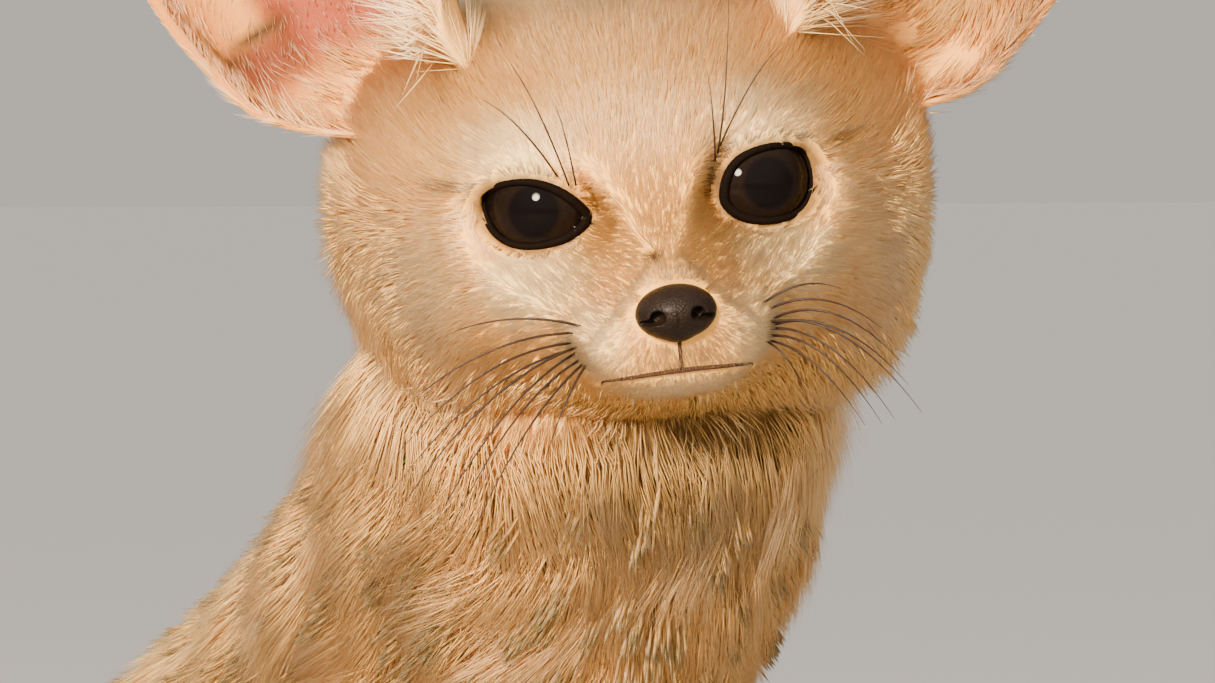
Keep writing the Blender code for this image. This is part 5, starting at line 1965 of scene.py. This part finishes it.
@dataclass(frozen=True)
class EyeFinish(Finish):
    """A wet dark eye with a brown iris round a black pupil."""

    name: str = "fox_eye"
    pupil: tuple = (0.003, 0.002, 0.002, 1.0)
    iris: tuple = (0.010, 0.006, 0.004, 1.0)
    white: tuple = (0.003, 0.002, 0.002, 1.0)
    ray_scale: float = 1400.0
    ray_shade: float = 0.45
    pupil_blur: tuple[float, float] = (0.03, 0.05)
    iris_blur: float = 0.10
    roughness: float = 0.35
    wet: float = 0.30
    wet_roughness: float = 0.02
    wet_index: float = 1.3

    def made(self) -> bpy.types.Material:
        """Makes the material, which reads how far each corner is from the way the eye looks."""
        material, nodes, shader = new_material(self.name)
        turn = nodes.attribute("from_axis")["Fac"]
        place = nodes.add("ShaderNodeTexCoord").outputs["Object"]
        rays = nodes.noise(place, self.ray_scale, 3.0)
        iris = nodes.mix(rays, self.iris, tuple(self.ray_shade * c for c in self.iris[:3]) + (1.0,))
        pupil_edge, iris_edge = math.radians(EYES.pupil_deg), math.radians(EYES.iris_deg)
        open_pupil = nodes.ramp(turn, pupil_edge - self.pupil_blur[0], pupil_edge + self.pupil_blur[1])
        past_iris = nodes.ramp(turn, iris_edge - self.iris_blur, iris_edge)
        colour = nodes.mix(open_pupil, self.pupil, iris)
        nodes.feed(shader, {
            "Base Color": nodes.mix(past_iris, colour, self.white), "Roughness": self.roughness,
            "Specular IOR Level": 0.0, "Coat Weight": self.wet, "Coat Roughness": self.wet_roughness,
            "Coat IOR": self.wet_index,
        })
        return material


@dataclass(frozen=True)
class PebbledFinish(Finish):
    """Bare dark skin or horn, with fine pebbling."""

    name: str
    light: tuple
    dark: tuple
    scale: float
    roughness: float
    bump: float
    distance: float
    gloss: float = 0.0
    shine: float = 0.25
    gloss_roughness: float = 0.25
    roughness_swing: float = 0.2

    def made(self) -> bpy.types.Material:
        """Makes the material."""
        material, nodes, shader = new_material(self.name)
        place = nodes.add("ShaderNodeTexCoord").outputs["Object"]
        cells = nodes.add("ShaderNodeTexVoronoi", {"Vector": place, "Scale": self.scale}).outputs["Distance"]
        broad = nodes.noise(place, 0.25 * self.scale)
        nodes.feed(shader, {
            "Base Color": nodes.mix(broad, self.dark, self.light), "Specular IOR Level": self.shine,
            "Coat Weight": self.gloss, "Coat Roughness": self.gloss_roughness,
        })
        swing = nodes.math("MULTIPLY", broad, self.roughness_swing)
        rough = nodes.math("ADD", swing, self.roughness - self.roughness_swing / 2)
        nodes.feed(shader, {"Roughness": rough})
        nodes.bump(shader, cells, self.bump, self.distance)
        return material


NOSE_FINISH = PebbledFinish(
    "bare_nose", (0.014, 0.007, 0.004, 1.0), (0.005, 0.003, 0.002, 1.0), 2600.0, 0.50, 0.5, 0.0002, 0.03, 0.12
)
LID_FINISH = PebbledFinish(
    "lid_skin", (0.007, 0.004, 0.003, 1.0), (0.003, 0.002, 0.001, 1.0), 3000.0, 0.70, 0.3, 0.0002, 0.0, 0.02
)
LIP_FINISH = PebbledFinish(
    "lip_edge", (0.075, 0.036, 0.022, 1.0), (0.035, 0.017, 0.010, 1.0), 3000.0, 0.70, 0.3, 0.0002, 0.0, 0.05
)
CLAW_FINISH = PebbledFinish(
    "claw_horn", (0.20, 0.13, 0.080, 1.0), (0.075, 0.045, 0.028, 1.0), 900.0, 0.40, 0.2, 0.0002
)
HAIR_FINISH = PebbledFinish(
    "whisker_hair", (0.036, 0.018, 0.010, 1.0), (0.012, 0.007, 0.004, 1.0), 700.0, 0.50, 0.0, 0.0001
)


class Face:
    """Eyes, lid rims, nose, mouth and whiskers, each a piece of its own."""

    WHISKER_RADIUS = 0.00021
    SHORT_SIDE = 0.62
    WHISKER_BOW = 0.0030
    WHISKER_TAPER = 0.85
    WHISKER_STATIONS = 14
    BROW_SHARE = 0.75
    # Root, tip and sag of each whisker on the fox's right, in the head's frame
    WHISKERS: Rows = (
        (-0.0145, -0.0470, -0.0135, -0.0405, -0.0460, -0.0215, 0.003),
        (-0.0150, -0.0465, -0.0150, -0.0429, -0.0520, -0.0280, 0.004),
        (-0.0140, -0.0475, -0.0155, -0.0470, -0.0560, -0.0400, 0.005),
        (-0.0150, -0.0460, -0.0160, -0.0445, -0.0520, -0.0335, 0.004),
        (-0.0145, -0.0465, -0.0165, -0.0400, -0.0580, -0.0400, 0.004),
        (-0.0140, -0.0470, -0.0175, -0.0371, -0.0590, -0.0400, 0.004),
        (-0.0135, -0.0475, -0.0180, -0.0333, -0.0600, -0.0395, 0.003),
        (-0.0130, -0.0480, -0.0180, -0.0215, -0.0520, -0.0320, 0.002),
        (-0.0135, -0.0480, -0.0125, -0.0330, -0.0420, -0.0120, 0.002),
    )
    BROW_HAIRS: Rows = (
        (-0.0120, -0.0350, 0.0070, -0.0190, -0.0330, 0.0270, 0.002),
        (-0.0135, -0.0345, 0.0085, -0.0240, -0.0310, 0.0215, 0.002),
        (-0.0110, -0.0355, 0.0070, -0.0125, -0.0330, 0.0190, 0.001),
        (0.0105, -0.0345, 0.0090, 0.0150, -0.0320, 0.0320, -0.001),
        (0.0110, -0.0340, 0.0100, 0.0225, -0.0310, 0.0240, 0.002),
        (0.0100, -0.0350, 0.0080, 0.0105, -0.0330, 0.0210, 0.001),
    )

    def __init__(self, anatomy: Anatomy, skin: bpy.types.Object) -> None:
        """Keeps the anatomy and searches the skin.

        Args:
            anatomy: Where the head is.
            skin: The skin that the pieces sit on.
        """
        self.pose = anatomy.pose
        self.tree = BVHTree.FromObject(skin, bpy.context.evaluated_depsgraph_get())

    def build(self) -> list[bpy.types.Object]:
        """Builds every piece of the face.

        Returns:
            The pieces.
        """
        made = []
        for side in Side:
            made.append(self.eye(side))
            made.append(self.lid_rim(side))
        made += [self.nose(), self.mouth(), self.whiskers()]
        return made

    def eye(self, side: Side) -> bpy.types.Object:
        """An eyeball that knows how far each corner is from the way it looks."""
        word = side.name.lower()
        eye = ball(f"eyeball_{word}", EYES.middle(side), (EYES.radius,) * 3, 64, 48)
        points, _ = vertex_arrays(eye)
        off = unit(points - np.array(EYES.middle(side)))
        turn = np.arccos(np.clip(off @ np.array(EYES.axis(side)), -1.0, 1.0))
        layer = eye.data.attributes.new(name="from_axis", type="FLOAT", domain="POINT")
        layer.data.foreach_set("value", turn.astype(np.float32))
        eye.data.transform(self.pose)
        dress(eye, EyeFinish().material())
        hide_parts(f"eye_{word}")
        return eye

    def lid_rim(self, side: Side) -> bpy.types.Object:
        """The dark wet edge of the lids."""
        across, upright = EYES.axes(side)
        middle, axis = EYES.middle(side), EYES.axis(side)
        line, radii = [], []
        outline = EYES.outline(side)
        start = len(outline) // 4
        smooth = np.asarray(outline)
        for _ in range(2):
            smooth = 0.5 * smooth + 0.25 * (np.roll(smooth, 1, axis=0) + np.roll(smooth, -1, axis=0))
        for i in range(start, start + len(outline) + 2):
            x, z = smooth[i % len(outline)]
            out = math.sqrt((EYES.radius + 0.0002) ** 2 - x * x - z * z)
            line.append(np.array(middle + axis * out + across * x + upright * z))
            turn = 2 * math.pi * i / len(outline)
            radii.append(EYES.rim_radius * (0.85 + 0.15 * math.cos(turn) + 0.10 * math.cos(2 * turn)))
        name = f"lid_rim_{side.name.lower()}"
        rim = lines_mesh(name, [np.array(line)], [np.array(radii)], 12, np.array(axis))
        rim.data.transform(self.pose)
        dress(rim, LID_FINISH.material())
        return rim

    def nose(self) -> bpy.types.Object:
        """The bare nose with nostrils, their side slits and the groove between them."""
        centre = Vector(NOSE.centre)
        nose = ball("nose_pad", centre, NOSE.half_size, 48, 32)
        low = ball("low", centre + Vector(NOSE.low_drop), NOSE.low_half_size, 32, 24)
        nose = fused("nose_pad", [nose, low], NOSE.body_voxel, 6)
        cutters = []
        for side in Side:
            for (a, b, c), size in ((NOSE.nostril, NOSE.nostril_half_size), (NOSE.slit, NOSE.slit_half_size)):
                cutters.append(ball("cut", Vector((side.value * a, b, c)), size, 24, 16))
        cutters.append(ball("cut", Vector(NOSE.groove), NOSE.groove_half_size, 16, 12))
        boolean(nose, cutters, "DIFFERENCE")
        add_modifier(nose, "REMESH", mode="VOXEL", voxel_size=NOSE.cut_voxel)
        add_modifier(nose, "SMOOTH", factor=0.5, iterations=3)
        nose.data.shade_smooth()
        nose.data.transform(self.pose)
        dress(nose, NOSE_FINISH.material())
        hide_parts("nose")
        return nose

    def on_skin(self, start: Vector, way: Vector) -> np.ndarray:
        """Where a line through the head's frame first meets the skin, in the world."""
        return np.array(self.tree.ray_cast(self.pose @ start, self.pose.to_3x3() @ way)[0])

    def mouth(self) -> bpy.types.Object:
        """The dark line between the lips, and the groove up to the nose."""
        line, radii = [], []
        out, ahead = LIPS.search_from
        for place in np.linspace(-1.0, 1.0, LIPS.stations):
            turn = math.radians(LIPS.reach_deg) * place
            inward = Vector((-math.sin(turn), math.cos(turn), 0.0))
            start = Vector((0.0, LIPS.pivot_y, float(LIPS.height(place)))) - inward * out
            line.append(self.on_skin(start, inward))
            radii.append(LIPS.radius * (1.0 - LIPS.taper * abs(place) ** 1.5))
        heights = np.linspace(*LIPS.groove_ends, LIPS.groove_stations)
        groove = [self.on_skin(Vector((0.0, ahead, height)), Vector((0, 1, 0))) for height in heights]
        radii = [np.array(radii), np.full(LIPS.groove_stations, LIPS.groove_radius)]
        mouth = lines_mesh("mouth_line", [np.array(line), np.array(groove)], radii, 8)
        dress(mouth, LIP_FINISH.material())
        return mouth

    def whiskers(self) -> bpy.types.Object:
        """The whiskers of both sides and the long hairs over the eyes."""
        wanted = [(row, 1.0) for row in self.WHISKERS]
        for row in self.WHISKERS:
            reach = [root + self.SHORT_SIDE * (tip - root) for root, tip in zip(row[:3], row[3:6])]
            wanted.append(((-row[0], row[1], row[2], -reach[0], reach[1], reach[2], row[6]), 1.0))
        wanted += [(row, self.BROW_SHARE) for row in self.BROW_HAIRS]
        lines, radii = [], []
        steps = np.linspace(0.0, 1.0, self.WHISKER_STATIONS)
        for (ax, ay, az, bx, by, bz, sag), thick in wanted:
            start, end = np.array((ax, ay, az)), np.array((bx, by, bz))
            line = start + (end - start) * steps[:, None]
            line[:, 2] += sag * 4 * steps * (1 - steps)
            line[:, 1] -= self.WHISKER_BOW * 4 * steps * (1 - steps)
            lines.append(moved(self.pose, line))
            radii.append(self.WHISKER_RADIUS * thick * (1.0 - self.WHISKER_TAPER * steps**1.5))
        hairs = lines_mesh("whiskers", lines, radii, 6)
        dress(hairs, HAIR_FINISH.material())
        return hairs


class Paws:
    """The claws of the four feet."""

    def build(self) -> bpy.types.Object:
        """Builds the claws as curved tapering horns.

        Returns:
            One piece with all of them.
        """
        lines, radii = [], []
        steps = np.linspace(0.0, 1.0, TOES.claw_stations)
        for foot in (FOREPAW, FOREPAW.mirrored(), HIND_FOOT, HIND_FOOT.mirrored()):
            for x, y in TOES.places(foot):
                ahead = y - TOES.claw_length * (0.6 + 1.4 * steps)
                height = TOES.claw_root_z + TOES.claw_arch * np.sin(math.pi * steps)
                height += (TOES.claw_tip_z - TOES.claw_root_z) * steps**1.6
                line = np.stack([np.full(len(steps), x), ahead, height], axis=1)
                lines.append(line + np.array(BODY_SHIFT))
                radii.append(TOES.claw_radius * (1.0 - TOES.claw_taper * steps**1.3))
        claws = lines_mesh("claws", lines, radii, 10)
        dress(claws, CLAW_FINISH.material())
        return claws


class Studio:
    """The pale floor, the soft light and the camera."""

    FLOOR_COLOUR = (0.66, 0.64, 0.61, 1.0)
    FLOOR_ROUGHNESS = 0.9
    FLOOR_WIDTH = 60.0
    WORLD_COLOUR = (0.92, 0.86, 0.79, 1.0)
    WORLD_STRENGTH = 0.32
    WORLD_PEAK = 1.9
    BACKDROP_STRENGTH = 0.62
    WARM = (1.0, 0.83, 0.62)
    PALE = (1.0, 0.93, 0.82)
    # The ways to the brightest point and the lights: shares back to the camera, to its right and up
    BRIGHT_WAY = (0.85, 0.10, 0.65)
    KEY_WAY = (1.00, -0.36, 0.36)
    RIM_WAY = (-0.6, -0.9, 0.7)
    KEY_DISTANCE = 1.2
    RIM_DISTANCE = 1.6
    KEY_WATTS = 15.0
    KEY_WIDTH = 0.30
    RIM_WATTS = 9.0
    RIM_WIDTH = 1.0
    BEAM_WATTS = 340.0
    BEAM_WIDTH = 0.15
    BEAM_AIM = (0.006, 0.022)
    BEAM_EDGE = 0.8
    BEAM_DEG = 14.5
    CAMERA_AZIMUTH_DEG = -35.0
    CAMERA_ELEVATION_DEG = 1.5
    CAMERA_DISTANCE = 1.0
    FOCAL_LENGTH = 200.0
    SENSOR_WIDTH = 36.0
    PHOTO_SIZE = (1215, 683)
    EYES_PIXEL = (651.5, 197.5)

    def build(self, pose: Matrix) -> None:
        """Sets up the studio.

        Args:
            pose: The head's matrix, which the camera is aimed by.
        """
        self.floor()
        back, right, up = self.camera(pose)

        def towards(shares: tuple[float, float, float]) -> Vector:
            """A direction from its shares back to the camera, to its right and up."""
            return (back * shares[0] + right * shares[1] + up * shares[2]).normalized()

        self.world(towards(self.BRIGHT_WAY))
        head = pose.translation
        key = head + towards(self.KEY_WAY) * self.KEY_DISTANCE
        rim = head + towards(self.RIM_WAY) * self.RIM_DISTANCE
        aim = head - right * self.BEAM_AIM[0] + up * self.BEAM_AIM[1]
        self.lamp("key_light", key, head, self.KEY_WATTS, self.WARM, shape="DISK", size=self.KEY_WIDTH)
        self.lamp(
            "face_light", key, aim, self.BEAM_WATTS, self.WARM, "SPOT", shadow_soft_size=self.BEAM_WIDTH,
            spot_size=math.radians(self.BEAM_DEG), spot_blend=self.BEAM_EDGE,
        )
        self.lamp("back_light", rim, head, self.RIM_WATTS, self.PALE, shape="DISK", size=self.RIM_WIDTH)

    def floor(self) -> None:
        """A plain pale floor."""
        bpy.ops.object.select_all(action="DESELECT")
        bpy.ops.mesh.primitive_plane_add(size=self.FLOOR_WIDTH)
        floor = bpy.context.active_object
        floor.name = "studio_floor"
        material, _, shader = new_material("floor_finish")
        shader.inputs["Base Color"].default_value = self.FLOOR_COLOUR
        shader.inputs["Roughness"].default_value = self.FLOOR_ROUGHNESS
        floor.data.materials.append(material)

    def world(self, bright: Vector) -> None:
        """A plain pale surround, softly brighter on one side.

        Args:
            bright: The way to its brightest point.
        """
        world = bpy.data.worlds.new("studio_world")
        bpy.context.scene.world = world
        world.use_nodes = True
        background = world.node_tree.nodes["Background"]
        background.inputs["Color"].default_value = self.WORLD_COLOUR
        nodes = Nodes(world.node_tree)
        way = nodes.add("ShaderNodeTexCoord").outputs["Generated"]
        product = nodes.add("ShaderNodeVectorMath", {0: way, 1: tuple(bright)}, operation="DOT_PRODUCT")
        strength = nodes.ramp(
            product.outputs["Value"], 0.0, 1.0, self.WORLD_STRENGTH, self.WORLD_PEAK,
            interpolation_type="SMOOTHSTEP",
        )
        seen = nodes.add("ShaderNodeLightPath").outputs["Is Camera Ray"]
        shown = nodes.add("ShaderNodeMix", {0: seen, 2: strength, 3: self.BACKDROP_STRENGTH}).outputs[0]
        nodes.tree.links.new(shown, background.inputs["Strength"])

    def lamp(
        self, name: str, place: Vector, target: Vector, power: float, colour: tuple, kind: str = "AREA",
        **settings: object,
    ) -> None:
        """Adds a light.

        Args:
            name: The lamp's name.
            place: Where it hangs.
            target: What it points at.
            power: Its power in watts.
            colour: Its colour.
            kind: Blender's type of light.
            settings: Its other properties.
        """
        light = bpy.data.lights.new(name, kind)
        for key, value in {"energy": power, "color": colour, **settings}.items():
            setattr(light, key, value)
        linked(name, light).matrix_world = look_from(place, target)

    def camera(self, pose: Matrix) -> tuple[Vector, Vector, Vector]:
        """Sets the camera so that the eyes fall where the photograph has them.

        Args:
            pose: The head's matrix.

        Returns:
            The directions to the camera, to its right and up.
        """
        azimuth, elevation = math.radians(self.CAMERA_AZIMUTH_DEG), math.radians(self.CAMERA_ELEVATION_DEG)
        back = Vector(
            (
                math.sin(azimuth) * math.cos(elevation),
                -math.cos(azimuth) * math.cos(elevation),
                math.sin(elevation),
            )
        )
        right = Vector((math.cos(azimuth), math.sin(azimuth), 0.0))
        up = back.cross(right)
        fronts = [pose @ (EYES.middle(side) + EYES.axis(side) * EYES.radius) for side in Side]
        middle = (fronts[0] + fronts[1]) / 2.0
        width, height = self.PHOTO_SIZE
        pixel = self.CAMERA_DISTANCE * self.SENSOR_WIDTH / (self.FOCAL_LENGTH * width)
        target = middle - right * ((self.EYES_PIXEL[0] - width / 2) * pixel)
        target += up * ((self.EYES_PIXEL[1] - height / 2) * pixel)
        lens = bpy.data.cameras.new("camera")
        lens.lens = self.FOCAL_LENGTH
        lens.sensor_width = self.SENSOR_WIDTH
        lens.clip_start = 0.01
        camera = linked("camera", lens)
        camera.matrix_world = look_from(target + back * self.CAMERA_DISTANCE, target)
        bpy.context.scene.camera = camera
        return back, right, up


def look_from(place: Vector, target: Vector) -> Matrix:
    """The matrix of a camera or lamp at a place that looks at a target."""
    turn = (target - place).to_track_quat("-Z", "Y").to_matrix().to_4x4()
    return Matrix.Translation(place) @ turn


COATS = (
    ("coat_muzzle", Region.MUZZLE, "sandy_coat"),
    ("coat_face", Region.FACE, "sandy_coat"),
    ("coat_crown", Region.CROWN, "sandy_coat"),
    ("coat_ruff", Region.RUFF, "sandy_coat"),
    ("coat_neck", Region.NECK, "sandy_coat"),
    ("coat_trunk", Region.TRUNK, "sandy_coat"),
    ("coat_legs", Region.LEG, "pale_coat"),
    ("coat_paws", Region.PAW, "pale_coat"),
    ("coat_tail", Region.TAIL, "sandy_coat"),
    ("coat_ear_backs", Region.EAR_BACK, "sandy_coat"),
    ("coat_ear_fronts", Region.EAR_FRONT, "pale_coat"),
)


def report(pieces: list[bpy.types.Object]) -> None:
    """Puts each piece on the fox's one body and reports its triangles."""
    for piece in pieces:
        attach(piece, "root")
        triangles = sum(len(face.vertices) - 2 for face in piece.data.polygons)
        LOG.info("%s: %d triangles", piece.name, triangles)


def main() -> None:
    """Builds the fox's pieces in order, then the studio."""
    logging.basicConfig(level=logging.INFO, format="%(name)s %(relativeCreated)d ms: %(message)s")
    anatomy = Anatomy()
    skin = Body(anatomy).build()
    dress(skin, SKIN_FINISH.material())
    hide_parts(*Body.NODES)
    points, normals = vertex_arrays(skin)
    places = anatomy.place(points, normals)
    strand = np.tile((0.5, 0.5, 0.0, 1.0), (len(points), 1))
    set_colours(skin.data, "strand", strand)
    set_colours(skin.data, "marks", places.marks)
    report([skin])
    report(Face(anatomy, skin).build())
    report([Paws().build()])
    coat = Coat(anatomy, skin)
    for name, region, slot in COATS:
        report(coat.grow(name, region, slot))
    report(coat.specks("coat_specks", "dark_coat"))
    Studio().build(anatomy.pose)


if __name__ == "__main__":
    main()
